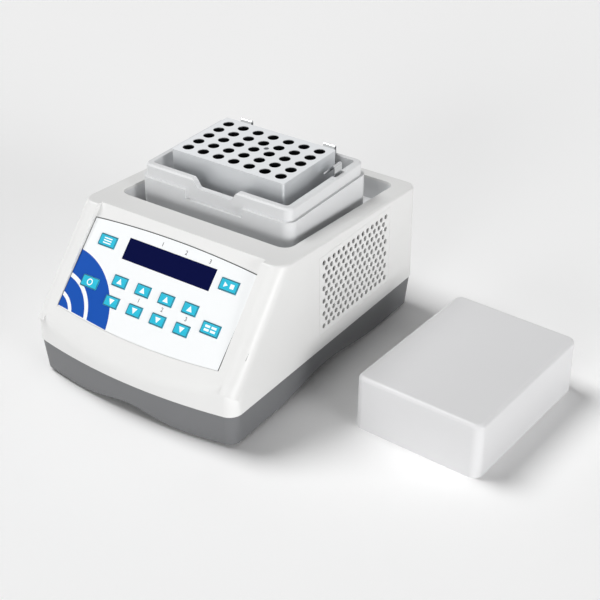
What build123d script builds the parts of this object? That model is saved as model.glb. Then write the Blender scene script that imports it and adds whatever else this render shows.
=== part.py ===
"""Bench thermal mixer: a heated tube block on an orbital shaker, with its lid set down beside it.

Millimetres. +X is to the right of someone facing the control panel, +Y is away from them and +Z is up.
Every piece is built where it stands, measured from the middle of the case's footprint on the bench.
save() then sets it about the origin, the middle of the footprint of case and lid together.
The drive cranks stand with their offset pins to the right.
"""

import os
from math import cos, radians, sin, tan

from build123d import *

os.makedirs("parts", exist_ok=True)


# ---------------------------------------------------------------- driving dimensions

# Where the whole set stands
set_middle_x = 98.3          # the case's middle to the middle of the set of case and lid

# Case, outside
case_width = 229.2
case_length = 314.0
front_bow = 12.0             # how far the middle of the front stands ahead of its ends
joint_height = 36.0          # where the housing meets the base
post_top_height = 149.7      # top of the two front corner posts
post_top_setback = 84.0      # from the middle of the front to the top of the posts
top_tilt = 3.85              # the top falls towards the back, degrees
post_slope = 49.7            # slope of the corner posts, degrees from level
wall_draft = 0.7
wall = 2.8
nose_radius = 22.0
corner_radius = 13.0
back_corner_radius = 14.0
top_edge_radius = 2.5

# Base
base_setback = 0.6           # the housing overhangs the base by this much
base_draft = 6.0
base_clearance = 3.5         # bench to the lowest edge of the base
floor_height = 16.0          # underside of the base's floor
floor_thickness = 3.0
tongue_height = 4.0
tongue_thickness = 1.6
front_arch_height = 12.0
front_arch_length = 124.0
side_arch_height = 13.5
side_arch_length = 182.0
side_arch_y = 3.0
foot_spacing_x = 184.0
foot_spacing_y = 236.0
foot_centre_y = 2.0
foot_diameter = 20.0
foot_height = 6.0
foot_spigot_diameter = 8.0
foot_spigot_length = 6.0
boss_wall = 3.0
case_boss_front_y = -70.0
case_boss_back_y = 138.0
case_boss_height = 40.0
case_boss_gap = 0.3
rib_thickness = 2.4
boss_sides = 8               # bosses, pillars and standoffs are eight-sided

# Well that the block carrier moves in
well_width = 192.0
well_length = 181.8
well_centre_y = 50.6
well_corner_radius = 11.0
well_skirt_bottom = 112.0
well_floor_margin = 6.0      # from the shaker plate's edge to the hole in the well's floor

# Control panel
panel_width = 184.5
panel_height = 88.4
panel_slope = 47.25
panel_top_setback = 79.8     # from the middle of the front to the panel's top corners
panel_top_height = 138.6
panel_top_bow = 4.2
panel_bottom_bow = 5.9
overlay_thickness = 0.8
panel_gap = 0.3
screen_width = 98.5
screen_height = 20.3
screen_offset = 2.2
screen_drop = 17.7           # panel's top corners to the middle of the screen
side_key_width = 19.2
side_key_height = 10.9
arrow_key_width = 15.7
arrow_key_height = 10.1
key_proud = 0.6
key_travel = 0.5
key_gap = 0.3
key_flange = 1.0
key_flange_thickness = 0.8
side_key_offset = 68.9
upper_key_drop = 17.4
lower_key_drop = 58.1
arrow_key_pitch = 26.7
arrow_key_offset = 1.65
up_key_drop = 48.2
down_key_drop = 67.7
board_thickness = 1.6
board_boss_x = 86.0
board_boss_upper_drop = 6.0
board_boss_lower_drop = 82.0
keypad_board_width = 180.0
keypad_board_height = 88.0
display_width = 110.0
display_height = 36.0
display_depth = 8.0
switch_size = 6.0
switch_height = 3.5

# Side vents
vent_columns = 14
vent_rows = 11
vent_pitch = 8.05
vent_row_pitch = 6.62
vent_diameter = 5.0
vent_sides = 4
vent_centre_y = 44.2
vent_centre_height = 91.8
vent_margin = 5.0
vent_gap = 0.15
outlet_columns = 8           # the left side's vents cover the fan alone
outlet_rows = 9

# Orbital drive
platform_y = 42.7
orbit_radius = 1.5
running_gap = 0.03           # radial, between a pin and its bearing
seat_gap = 0.02              # radial, where a piece is pushed onto another
deck_width = 170.0
deck_length = 132.0
deck_thickness = 4.0
deck_height = 84.0           # underside of the deck
pillar_diameter = 10.0
pillar_spigot_diameter = 5.0
pillar_inset = 9.0
motor_diameter = 62.0
motor_height = 44.0
motor_boss_diameter = 22.0
motor_screw_circle = 50.0
shaft_diameter = 8.0
bearing_outer_diameter = 22.0
bearing_width = 7.0
bearing_housing_wall = 3.0
bearing_shoulder = 3.0
crank_diameter = 34.0
crank_thickness = 9.0
crank_web = 2.0              # left above the motor shaft's end
idler_disc_diameter = 20.0
idler_disc_thickness = 6.0
idler_spacing_x = 124.0
idler_back_offset = 38.0
idler_front_offset = 46.0
counterweight_radius = 32.0
counterweight_thickness = 8.0
crank_lift = 3.0             # deck's top to the underside of the cranks
axial_gap = 0.3              # between a crank's shoulder and its bearing
shoulder_diameter = 11.0
shaker_plate_height = 113.0
shaker_plate_thickness = 5.0
shaker_plate_width = 156.0
shaker_plate_length = 118.0
carrier_screw_inset = 12.0

# Block carrier
carrier_width = 172.0
carrier_length = 128.0
carrier_corner_radius = 10.0
carrier_wall = 4.0
carrier_floor = 3.0
ledge_height = 160.0         # the lid rests here
rim_height = 172.5
rim_thickness = 6.1
rim_chamfer = 1.6
rim_tongue = 10.0
rim_gap = 0.2
notch_top_width = 50.0
notch_bottom_width = 38.0
notch_depth = 9.0
apron_width = 64.0
apron_depth = 9.0

# Heated block
block_width = 127.4
block_length = 85.2
block_height = 40.0
block_top_height = 185.0
block_corner_radius = 2.0
pocket_columns = 7
pocket_rows = 5
pocket_pitch_x = 17.6
pocket_pitch_y = 15.5
pocket_diameter = 10.9
pocket_depth = 35.0
pocket_seat_width = 6.0
pocket_seat_depth = 0.5
block_screw_grip = 10.0
heater_plate_thickness = 10.0
heater_pad_thickness = 2.0
post_diameter = 10.0
post_spacing_x = 96.0
post_spacing_y = 60.0
sensor_diameter = 4.0
sensor_length = 24.0

# Spring clips
clip_width = 12.5
clip_thickness = 0.8
clip_ridge_height = 184.5
clip_tip_height = 170.5
clip_reach = 10.5            # ridge to tip, across
clip_foot_height = 150.5
clip_bend_radius = 1.4
clip_setback = 1.4           # carrier's inner face to the middle of the clip's leg
clip_back_spacing = 97.0
clip_side_y = 66.0
clip_play = 1.9              # room behind the leg for the clip to give
clip_screw_height = 153.0

# Rounds that are out of sight and that nothing turns in are drawn with this many sides
ring_sides = 12

# Fasteners
screw_sides = 6
screw_diameter = 3.0
screw_head_diameter = 5.5
screw_head_height = 1.8
screw_gap = 0.3
housing_screw_grip = 14.0
board_screw_grip = 5.0
deck_screw_grip = 10.0

# Lid
lid_height = 54.0
lid_wall = 2.4
lid_draft = 0.9
lid_top_radius = 4.0
lid_corner_radius = 9.0
lid_ledge_gap = 0.5
lid_x = 243.7
lid_y = 30.0
lid_turn = 87.4              # turned on the bench, degrees

# Rear of the case
inlet_x = 62.0
inlet_height = 72.0
inlet_body_width = 27.4
inlet_body_height = 19.8
inlet_flange_width = 31.0
inlet_flange_height = 24.0
inlet_flange_thickness = 2.0
inlet_body_depth = 26.0
inlet_cavity_width = 24.4
inlet_cavity_height = 16.4
inlet_cavity_depth = 17.0
inlet_cavity_corner = 5.0
blade_width = 2.0
blade_height = 4.0
blade_spacing = 7.0
blade_drop = 2.0
cutout_gap = 0.2
switch_x = 92.0
switch_body_width = 13.0
switch_body_height = 19.4
switch_flange = 1.8
switch_body_depth = 14.0
switch_wall = 1.45
rocker_throw = 16.0
rocker_end_gap = 1.0
rocker_axis_depth = 2.2
rocker_pin_diameter = 2.4
rocker_crown = 1.0           # how far its ends stand above its middle

# Fan
fan_size = 60.0
fan_depth = 15.0
fan_y = 44.2
fan_height = 78.5
fan_bore_diameter = 56.0
fan_hole_spacing = 50.0
fan_hub_diameter = 26.0
fan_blade_span = 26.6        # from the axis
fan_blade_count = 7
fan_blade_chord = 13.0
fan_blade_thickness = 1.4
fan_blade_pitch = 38.0
fan_axle_diameter = 3.0

# Boards on the floor
standoff_height = 7.0
standoff_diameter = 6.0
main_board_width = 150.0
main_board_length = 66.0
main_board_y = -92.0
supply_width = 92.0
supply_length = 44.0
supply_x = -46.0
supply_y = 128.0
chip_size = 16.0
chip_height = 2.4
chip_x = -30.0               # the places on each board are from the board's middle
chip_y = 6.0
socket_length = 28.0
socket_width = 9.0
socket_height = 11.0
socket_x = 52.0
socket_y = 14.0
transformer_length = 26.0
transformer_width = 24.0
transformer_height = 22.0
transformer_x = -16.0
capacitor_diameter = 16.0
capacitor_height = 24.0
capacitor_x = 14.0
capacitor_y = 6.0
heat_sink_thickness = 6.0
heat_sink_length = 26.0
heat_sink_height = 26.0
heat_sink_x = 30.0
heat_sink_y = -4.0


# ---------------------------------------------------------------- planes and shared values

half_length = case_length / 2
front_y = -half_length
front_end_y = front_y + front_bow
floor_top = floor_height + floor_thickness
post_top_y = front_y + post_top_setback
panel_top_y = front_y + panel_top_setback
board_depth = overlay_thickness + wall
switch_top_depth = board_depth + key_gap + key_flange_thickness + key_travel + key_gap
keypad_depth = switch_top_depth + switch_height


def slope_normal(angle):
    """Outward normal of a surface that faces the user and is tipped back by angle."""
    return (0, -sin(radians(angle)), cos(radians(angle)))


top_normal = (0, sin(radians(top_tilt)), cos(radians(top_tilt)))


def top_plane(depth):
    """The case's tilted top, moved down into the case by depth."""
    origin = Vector(0, post_top_y, post_top_height) - Vector(*top_normal) * depth
    return Plane(origin=origin, x_dir=(1, 0, 0), z_dir=top_normal)


def post_plane(depth):
    """The sloped front of the corner posts, moved into the case by depth."""
    normal = slope_normal(post_slope)
    origin = Vector(0, post_top_y, post_top_height) - Vector(*normal) * depth
    return Plane(origin=origin, x_dir=(1, 0, 0), z_dir=normal)


def panel_plane(depth):
    """The panel's face, with its origin midway between its top corners and +Y up the slope."""
    normal = slope_normal(panel_slope)
    origin = Vector(0, panel_top_y, panel_top_height) - Vector(*normal) * depth
    return Plane(origin=origin, x_dir=(1, 0, 0), z_dir=normal)


arrow_key_columns = [
    arrow_key_offset - arrow_key_pitch * 3 / 2,
    arrow_key_offset - arrow_key_pitch / 2,
    arrow_key_offset + arrow_key_pitch / 2,
    arrow_key_offset + arrow_key_pitch * 3 / 2,
]
key_places = {
    "key_left_upper": (-side_key_offset, -upper_key_drop),
    "key_left_lower": (-side_key_offset, -lower_key_drop),
    "key_right_upper": (side_key_offset, -upper_key_drop),
    "key_right_lower": (side_key_offset, -lower_key_drop),
}
for number, column in enumerate(arrow_key_columns, start=1):
    key_places[f"key_up_{number}"] = (column, -up_key_drop)
    key_places[f"key_down_{number}"] = (column, -down_key_drop)
side_key_points = [place for name, place in key_places.items() if "left" in name or "right" in name]
arrow_key_points = [place for place in key_places.values() if place not in side_key_points]


def key_outlines(margin):
    """Rectangles round all the keys, each larger than its key by margin on every side."""
    with BuildSketch() as outlines:
        with Locations(*side_key_points):
            Rectangle(side_key_width + 2 * margin, side_key_height + 2 * margin)
        with Locations(*arrow_key_points):
            Rectangle(arrow_key_width + 2 * margin, arrow_key_height + 2 * margin)
    return outlines.sketch


def screw_outlines(margin, points):
    """Outlines of screw shanks at points, each wider by margin all round."""
    with BuildSketch() as outlines:
        with Locations(*points):
            RegularPolygon(screw_diameter / 2 + margin, screw_sides)
    return outlines.sketch


def screw(head_plane, grip, points):
    """Screws whose heads lie on head_plane and whose shanks point against its normal."""
    with BuildPart() as screws:
        with BuildSketch(head_plane):
            with Locations(*points):
                RegularPolygon(screw_head_diameter / 2, screw_sides)
        extrude(amount=screw_head_height)
        with BuildSketch(head_plane):
            add(screw_outlines(0, points))
        extrude(amount=-grip)
    return screws.part


def save(part, name):
    """Set the part about the set's middle and write it as parts/name.step."""
    placed = part.moved(Location((-set_middle_x, 0, 0)))
    placed.label = name
    export_step(placed, f"parts/{name}.step")


base_draft_inset = (joint_height - base_clearance) * tan(radians(base_draft))
boss_diameter = screw_diameter + 2 * boss_wall
case_boss_inset = base_setback + base_draft_inset + wall + screw_head_diameter / 2 + screw_gap
case_boss_x = case_width / 2 - case_boss_inset
case_boss_points = [
    (side * case_boss_x, y)
    for side in (-1, 1)
    for y in (case_boss_front_y, case_boss_back_y)
]
board_boss_points = [
    (side * board_boss_x, -drop)
    for side in (-1, 1)
    for drop in (board_boss_upper_drop, board_boss_lower_drop)
]


# ---------------------------------------------------------------- case

def case_outline(inset, front_corner, back_corner, cut_corner=fillet):
    """The case seen from above: straight sides and back, a bowed front, and corners made by cut_corner."""
    half = case_width / 2 - inset
    back = half_length - inset
    with BuildSketch() as outline:
        with BuildLine():
            ThreePointArc((-half, front_end_y + inset), (0, front_y + inset), (half, front_end_y + inset))
            Polyline((half, front_end_y + inset), (half, back), (-half, back), (-half, front_end_y + inset))
        make_face()
        cut_corner(outline.vertices().sort_by(Axis.Y)[-2:], back_corner)
        if front_corner:
            cut_corner(outline.vertices().sort_by(Axis.Y)[:2], front_corner)
    return outline.sketch


def case_hollow(inset):
    """The outline inside a wall: its corners are cut straight, which leaves the wall no thinner there."""
    return case_outline(inset, corner_radius / 2, back_corner_radius / 2, chamfer)


def case_form(inset, front_plane, back_corner, cut_corner):
    """The upper case with sharp front corners, set in by inset and closed by front_plane."""
    with BuildPart() as form:
        with BuildSketch(Plane.XY.offset(joint_height)):
            add(case_outline(inset, 0, back_corner, cut_corner))
        extrude(amount=post_top_height - joint_height + 10, taper=wall_draft)
        split(bisect_by=front_plane, keep=Keep.BOTTOM)
        split(bisect_by=top_plane(inset), keep=Keep.BOTTOM)
    return form.part


def front_corner_edges(form, inset):
    """The edges between a case form's front and its two sides, from the joint up to the top."""
    half = case_width / 2 - inset
    edges = form.edges().filter_by(lambda edge: abs(edge.center().X) > half - 3)
    edges = edges.filter_by(lambda edge: edge.center().Z > joint_height + 1)
    return edges.filter_by(lambda edge: edge.bounding_box().max.Y < post_top_y + 4)


with BuildPart() as outer_form:
    add(case_form(0, post_plane(0), back_corner_radius, fillet))
    nose = outer_form.edges().filter_by(lambda edge: edge.center().Z > joint_height + 5)
    fillet(nose.sort_by(Axis.Y)[0], radius=nose_radius)
    fillet(front_corner_edges(outer_form, 0), radius=corner_radius)

with BuildPart() as inner_form:
    add(case_form(wall, panel_plane(overlay_thickness + wall), back_corner_radius / 2, chamfer))
    chamfer(front_corner_edges(inner_form, wall), length=corner_radius / 2)


def panel_outline(margin):
    """The overlay's outline: straight sides, top and bottom edges bowed outwards."""
    half = panel_width / 2 + margin
    low = -panel_height - margin
    with BuildSketch() as outline:
        with BuildLine():
            ThreePointArc((-half, margin), (0, panel_top_bow + margin), (half, margin))
            Line((half, margin), (half, low))
            ThreePointArc((half, low), (0, low - panel_bottom_bow), (-half, low))
            Line((-half, low), (-half, margin))
        make_face()
    return outline.sketch


vent_plane = Plane(origin=(0, vent_centre_y, vent_centre_height), x_dir=(0, 1, 0), z_dir=(1, 0, 0))
outlet_plane = Plane(origin=(0, fan_y, fan_height), x_dir=(0, 1, 0), z_dir=(1, 0, 0))



def vent_frame(columns, rows, margin):
    """The rectangle of side wall that holds a field of vents, seen from the right."""
    length = (columns - 1) * vent_pitch + vent_diameter + 2 * margin
    height = (rows - 1) * vent_row_pitch + vent_diameter + 2 * margin
    with BuildSketch() as frame:
        Rectangle(length, height)
    return frame.sketch


with BuildPart() as upper_housing:
    add(outer_form.part)
    # soft edge round the top, before the well is cut
    top_face = upper_housing.faces().sort_by(Axis((0, 0, 0), top_normal))[-1]
    fillet(top_face.edges(), radius=top_edge_radius)
    add(inner_form.part, mode=Mode.SUBTRACT)
    with BuildSketch(Plane.XY.offset(well_skirt_bottom)):
        with Locations((0, well_centre_y)):
            RectangleRounded(well_width, well_length, well_corner_radius)
    extrude(amount=post_top_height, mode=Mode.SUBTRACT)
    # recess for the panel, open towards the top
    with BuildSketch(panel_plane(0)):
        with Locations((0, -panel_height / 2)):
            Rectangle(panel_width + 4 * panel_gap, 2 * panel_height)
    extrude(amount=overlay_thickness * 20, mode=Mode.SUBTRACT)
    with BuildSketch(panel_plane(0)):
        add(panel_outline(panel_gap))
    extrude(amount=-overlay_thickness, mode=Mode.SUBTRACT)
    with BuildSketch(panel_plane(overlay_thickness)):
        with Locations((screen_offset, -screen_drop)):
            Rectangle(screen_width + 2 * cutout_gap, screen_height + 2 * cutout_gap)
        add(key_outlines(key_gap))
    extrude(amount=-wall * 2, mode=Mode.SUBTRACT)
    # windows for the two vent fields
    with BuildSketch(vent_plane):
        add(vent_frame(vent_columns, vent_rows, vent_margin))
    extrude(amount=case_width, mode=Mode.SUBTRACT)
    with BuildSketch(outlet_plane):
        add(vent_frame(outlet_columns, outlet_rows, vent_margin))
    extrude(amount=-case_width, mode=Mode.SUBTRACT)
    # cut-outs in the back for the inlet and the switch
    with BuildSketch(Plane.XZ.offset(-half_length + 2 * wall)):
        with Locations((inlet_x, inlet_height)):
            Rectangle(inlet_body_width + 2 * cutout_gap, inlet_body_height + 2 * cutout_gap)
        with Locations((switch_x, inlet_height)):
            Rectangle(switch_body_width + 2 * cutout_gap, switch_body_height + 2 * cutout_gap)
    extrude(amount=-4 * wall, mode=Mode.SUBTRACT)
    # bosses for the screws that hold the base, each on a rib from the side wall
    with BuildSketch(Plane.XY.offset(joint_height + tongue_height)):
        with Locations(*case_boss_points):
            RegularPolygon(boss_diameter / 2, boss_sides)
        for x, y in case_boss_points:
            reach = case_width / 2 - wall / 2 - abs(x)
            with Locations((x + reach / 2 * (1 if x > 0 else -1), y)):
                Rectangle(reach, rib_thickness)
    extrude(amount=case_boss_height)
    with BuildSketch(Plane.XY.offset(joint_height + tongue_height)):
        add(screw_outlines(seat_gap, case_boss_points))
    extrude(amount=housing_screw_grip, mode=Mode.SUBTRACT)
    # bosses behind the panel for the keypad board
    with BuildSketch(panel_plane(board_depth)):
        with Locations(*board_boss_points):
            RegularPolygon(standoff_diameter / 2, boss_sides)
    extrude(amount=board_depth - keypad_depth)
    with BuildSketch(panel_plane(keypad_depth)):
        add(screw_outlines(seat_gap, board_boss_points))
    extrude(amount=keypad_depth - board_depth, mode=Mode.SUBTRACT)
save(upper_housing.part, "upper_housing")

# the tray under the well's mouth: its wall, and a floor that is open round the shaker plate
with BuildPart() as well_tray:
    with BuildSketch(Plane.XY.offset(well_skirt_bottom - wall)):
        with Locations((0, well_centre_y)):
            RectangleRounded(well_width + 2 * wall, well_length + 2 * wall, well_corner_radius + wall)
    extrude(amount=post_top_height - well_skirt_bottom + 10)
    split(bisect_by=top_plane(wall), keep=Keep.BOTTOM)
    with BuildSketch(Plane.XY.offset(well_skirt_bottom)):
        with Locations((0, well_centre_y)):
            RectangleRounded(well_width, well_length, well_corner_radius)
    extrude(amount=post_top_height, mode=Mode.SUBTRACT)
    with BuildSketch(Plane.XY.offset(well_skirt_bottom)):
        with Locations((0, platform_y)):
            hole_width = shaker_plate_width + 2 * well_floor_margin
            hole_length = shaker_plate_length + 2 * well_floor_margin
            RectangleRounded(hole_width, hole_length, carrier_corner_radius)
    extrude(amount=-wall, mode=Mode.SUBTRACT)
save(well_tray.part, "well_tray")



# ---------------------------------------------------------------- base

foot_grid = GridLocations(foot_spacing_x, foot_spacing_y, 2, 2)
foot_points = [(place.position.X, place.position.Y + foot_centre_y) for place in foot_grid]
main_board_points = [
    (place.position.X, place.position.Y + main_board_y)
    for place in GridLocations(
        main_board_width - 2 * standoff_diameter, main_board_length - 2 * standoff_diameter, 2, 2
    )
]
supply_points = [
    (place.position.X + supply_x, place.position.Y + supply_y)
    for place in GridLocations(supply_width - 2 * standoff_diameter, 0, 2, 1)
]
pillar_points = [
    (place.position.X, place.position.Y + platform_y)
    for place in GridLocations(deck_width - 2 * pillar_inset, deck_length - 2 * pillar_inset, 2, 2)
]
board_height = floor_top + standoff_height



def arch(length, height):
    """An opening that rises softly from the base's lower edge to height at its middle."""
    with BuildSketch() as opening:
        with BuildLine():
            Spline(
                (-length / 2, base_clearance),
                (0, height),
                (length / 2, base_clearance),
                tangents=((1, 0), (1, 0)),
            )
            Polyline(
                (length / 2, base_clearance),
                (length / 2, 0),
                (-length / 2, 0),
                (-length / 2, base_clearance),
            )
        make_face()
    return opening.sketch


with BuildPart() as lower_base:
    with BuildSketch(Plane.XY.offset(joint_height)):
        add(case_outline(base_setback, corner_radius, back_corner_radius))
    extrude(amount=base_clearance - joint_height, taper=base_draft)
    with BuildSketch(Plane.XY.offset(joint_height)):
        add(case_hollow(base_setback + wall))
    extrude(amount=floor_top - joint_height, taper=base_draft, mode=Mode.SUBTRACT)
    underside_inset = base_setback + base_draft_inset + wall
    with BuildSketch(Plane.XY.offset(floor_height)):
        add(case_hollow(underside_inset))
    extrude(amount=-floor_height, mode=Mode.SUBTRACT)
    # tongue that locates the housing
    tongue_inset = wall + panel_gap
    with BuildSketch(Plane.XY.offset(joint_height - tongue_height)):
        add(case_hollow(tongue_inset))
        add(case_hollow(tongue_inset + tongue_thickness), mode=Mode.SUBTRACT)
    extrude(amount=tongue_height * 2 - case_boss_gap)
    # soft arches in the skirt at the front and the sides
    with BuildSketch(Plane.XZ.offset(half_length - 2 * front_bow)):
        add(arch(front_arch_length, front_arch_height))
    extrude(amount=3 * front_bow, mode=Mode.SUBTRACT)
    with BuildSketch(Plane.YZ):
        with Locations((side_arch_y, 0)):
            add(arch(side_arch_length, side_arch_height))
    extrude(amount=case_width, both=True, mode=Mode.SUBTRACT)
    # seats for the feet, pillars for the case screws and standoffs for the boards
    with BuildSketch(Plane.XY.offset(foot_height)):
        with Locations(*foot_points):
            RegularPolygon(foot_diameter / 2 + boss_wall, boss_sides)
    extrude(amount=floor_height - foot_height)
    with BuildSketch(Plane.XY.offset(foot_height)):
        with Locations(*foot_points):
            RegularPolygon(foot_spigot_diameter / 2 + seat_gap, boss_sides)
    extrude(amount=foot_spigot_length + screw_gap, mode=Mode.SUBTRACT)
    with BuildSketch(Plane.XY.offset(floor_height)):
        with Locations(*case_boss_points):
            RegularPolygon(boss_diameter / 2, boss_sides)
    extrude(amount=joint_height + tongue_height - case_boss_gap - floor_height)
    with BuildSketch(Plane.XY.offset(floor_height)):
        add(screw_outlines(screw_gap, case_boss_points))
    extrude(amount=joint_height, mode=Mode.SUBTRACT)
    with BuildSketch(Plane.XY.offset(floor_top)):
        with Locations(*main_board_points, *supply_points):
            RegularPolygon(standoff_diameter / 2, boss_sides)
    extrude(amount=standoff_height)
    with BuildSketch(Plane.XY.offset(board_height)):
        add(screw_outlines(seat_gap, main_board_points + supply_points))
    extrude(amount=-board_screw_grip, mode=Mode.SUBTRACT)
    with BuildSketch(Plane.XY.offset(floor_top)):
        with Locations(*pillar_points):
            RegularPolygon(pillar_spigot_diameter / 2 + seat_gap, boss_sides)
    extrude(amount=-floor_thickness, mode=Mode.SUBTRACT)
save(lower_base.part, "lower_base")

with BuildPart() as rubber_feet:
    with BuildSketch():
        with Locations(*foot_points):
            RegularPolygon(foot_diameter / 2, ring_sides)
    extrude(amount=foot_height)
    with BuildSketch(Plane.XY.offset(foot_height)):
        with Locations(*foot_points):
            RegularPolygon(foot_spigot_diameter / 2, boss_sides)
    extrude(amount=foot_spigot_length)
save(rubber_feet.part, "rubber_feet")

housing_screws = screw(
    Plane(origin=(0, 0, floor_height), x_dir=(1, 0, 0), z_dir=(0, 0, -1)),
    joint_height + tongue_height + housing_screw_grip - 1 - floor_height,
    [(x, -y) for x, y in case_boss_points],
)
save(housing_screws, "housing_screws")


# ---------------------------------------------------------------- side vents

def vent_panel(plane, reach, columns, rows):
    """The part of the case's side wall, reach away from plane, that carries a field of vents."""
    with BuildPart() as panel:
        add(outer_form.part)
        add(inner_form.part, mode=Mode.SUBTRACT)
        with BuildSketch(plane):
            add(vent_frame(columns, rows, vent_margin - vent_gap))
        extrude(amount=reach, mode=Mode.INTERSECT)
        with BuildSketch(plane):
            with GridLocations(vent_pitch, 2 * vent_row_pitch, columns, (rows + 1) // 2):
                RegularPolygon(vent_diameter / 2, vent_sides)
            with GridLocations(vent_pitch, 2 * vent_row_pitch, columns - 1, rows // 2):
                RegularPolygon(vent_diameter / 2, vent_sides)
        extrude(amount=reach, mode=Mode.SUBTRACT)
    return panel.part


save(vent_panel(vent_plane, case_width, vent_columns, vent_rows), "side_grille_right")
save(vent_panel(outlet_plane, -case_width, outlet_columns, outlet_rows), "side_grille_left")


# ---------------------------------------------------------------- control panel

with BuildPart() as panel_overlay:
    with BuildSketch(panel_plane(0)):
        add(panel_outline(0))
        with Locations((screen_offset, -screen_drop)):
            Rectangle(screen_width + 2 * cutout_gap, screen_height + 2 * cutout_gap, mode=Mode.SUBTRACT)
        add(key_outlines(key_gap), mode=Mode.SUBTRACT)
    extrude(amount=-overlay_thickness)
save(panel_overlay.part, "panel_overlay")

with BuildPart() as display_window:
    with BuildSketch(panel_plane(0)):
        with Locations((screen_offset, -screen_drop)):
            Rectangle(screen_width, screen_height)
    extrude(amount=-board_depth)
save(display_window.part, "display_window")

with BuildPart() as display_module:
    with BuildSketch(panel_plane(board_depth)):
        with Locations((screen_offset, -screen_drop)):
            Rectangle(display_width, display_height)
    extrude(amount=-display_depth)
save(display_module.part, "display_module")

with BuildPart() as keypad_board:
    with BuildSketch(panel_plane(keypad_depth)):
        with Locations((0, -panel_height / 2)):
            Rectangle(keypad_board_width, keypad_board_height)
        with Locations((screen_offset, -screen_drop)):
            Rectangle(display_width + 2 * screw_gap, display_height + 2 * screw_gap, mode=Mode.SUBTRACT)
        add(screw_outlines(screw_gap, board_boss_points), mode=Mode.SUBTRACT)
    extrude(amount=-board_thickness)
    with BuildSketch(panel_plane(keypad_depth)):
        with Locations(*key_places.values()):
            Rectangle(switch_size, switch_size)
    extrude(amount=switch_height)
save(keypad_board.part, "keypad_board")

for key_name, key_point in key_places.items():
    key_width = side_key_width if key_point in side_key_points else arrow_key_width
    key_height = side_key_height if key_point in side_key_points else arrow_key_height
    with BuildPart() as key:
        with BuildSketch(panel_plane(-key_proud)):
            with Locations(key_point):
                Rectangle(key_width, key_height)
        extrude(amount=-key_proud - board_depth - key_gap)
        with BuildSketch(panel_plane(board_depth + key_gap)):
            with Locations(key_point):
                Rectangle(key_width + 2 * key_flange, key_height + 2 * key_flange)
        extrude(amount=-key_flange_thickness)
    save(key.part, key_name)


# ---------------------------------------------------------------- electronics

with BuildPart() as main_board:
    with BuildSketch(Plane.XY.offset(board_height)):
        with Locations((0, main_board_y)):
            Rectangle(main_board_width, main_board_length)
        add(screw_outlines(screw_gap, main_board_points), mode=Mode.SUBTRACT)
    extrude(amount=board_thickness)
    with BuildSketch(Plane.XY.offset(board_height + board_thickness)):
        with Locations((chip_x, main_board_y + chip_y)):
            Rectangle(chip_size, chip_size)
    extrude(amount=chip_height)
    with BuildSketch(Plane.XY.offset(board_height + board_thickness)):
        with Locations((socket_x, main_board_y + socket_y)):
            Rectangle(socket_length, socket_width)
    extrude(amount=socket_height)
save(main_board.part, "main_board")

with BuildPart() as supply_board:
    with BuildSketch(Plane.XY.offset(board_height)):
        with Locations((supply_x, supply_y)):
            Rectangle(supply_width, supply_length)
        add(screw_outlines(screw_gap, supply_points), mode=Mode.SUBTRACT)
    extrude(amount=board_thickness)
    with BuildSketch(Plane.XY.offset(board_height + board_thickness)):
        with Locations((supply_x + transformer_x, supply_y)):
            Rectangle(transformer_length, transformer_width)
    extrude(amount=transformer_height)
    with BuildSketch(Plane.XY.offset(board_height + board_thickness)):
        with Locations((supply_x + capacitor_x, supply_y + capacitor_y)):
            RegularPolygon(capacitor_diameter / 2, ring_sides)
    extrude(amount=capacitor_height)
    with BuildSketch(Plane.XY.offset(board_height + board_thickness)):
        with Locations((supply_x + heat_sink_x, supply_y + heat_sink_y)):
            Rectangle(heat_sink_thickness, heat_sink_length)
    extrude(amount=heat_sink_height)
save(supply_board.part, "supply_board")

floor_board_screws = screw(
    Plane.XY.offset(board_height + board_thickness),
    board_screw_grip + board_thickness - screw_gap,
    main_board_points + supply_points,
)
keypad_back = panel_plane(keypad_depth + board_thickness)
keypad_screws = screw(
    Plane(origin=keypad_back.origin, x_dir=(1, 0, 0), z_dir=-keypad_back.z_dir),
    board_screw_grip + board_thickness - screw_gap,
    [(x, -y) for x, y in board_boss_points],
)
with BuildPart() as board_screws:
    add(floor_board_screws)
    add(keypad_screws)
save(board_screws.part, "board_screws")


# ---------------------------------------------------------------- orbital drive

drive_x = -orbit_radius       # the motor's axis; the offset pins then stand on the block's centre
deck_top = deck_height + deck_thickness
crank_bottom = deck_top + crank_lift
deck_bearing_bottom = deck_top - bearing_width - axial_gap
platform_bearing_bottom = shaker_plate_height - bearing_width
idler_offsets = [
    (-idler_spacing_x / 2, idler_back_offset),
    (idler_spacing_x / 2, idler_back_offset),
    (0, -idler_front_offset),
]
deck_idler_points = [(drive_x + x, platform_y + y) for x, y in idler_offsets]
pin_points = [(0, platform_y)] + [(x, platform_y + y) for x, y in idler_offsets]
motor_screw_points = [
    (place.position.X + drive_x, place.position.Y + platform_y)
    for place in PolarLocations(motor_screw_circle / 2, 2, 45)
]
motor_bottom = deck_height - motor_height

with BuildPart() as deck_pillars:
    with BuildSketch(Plane.XY.offset(floor_top)):
        with Locations(*pillar_points):
            RegularPolygon(pillar_diameter / 2, boss_sides)
    extrude(amount=deck_height - floor_top)
    with BuildSketch(Plane.XY.offset(floor_height)):
        with Locations(*pillar_points):
            RegularPolygon(pillar_spigot_diameter / 2, boss_sides)
    extrude(amount=floor_thickness)
    with BuildSketch(Plane.XY.offset(deck_height)):
        add(screw_outlines(seat_gap, pillar_points))
    extrude(amount=-deck_screw_grip, mode=Mode.SUBTRACT)
save(deck_pillars.part, "deck_pillars")

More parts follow.
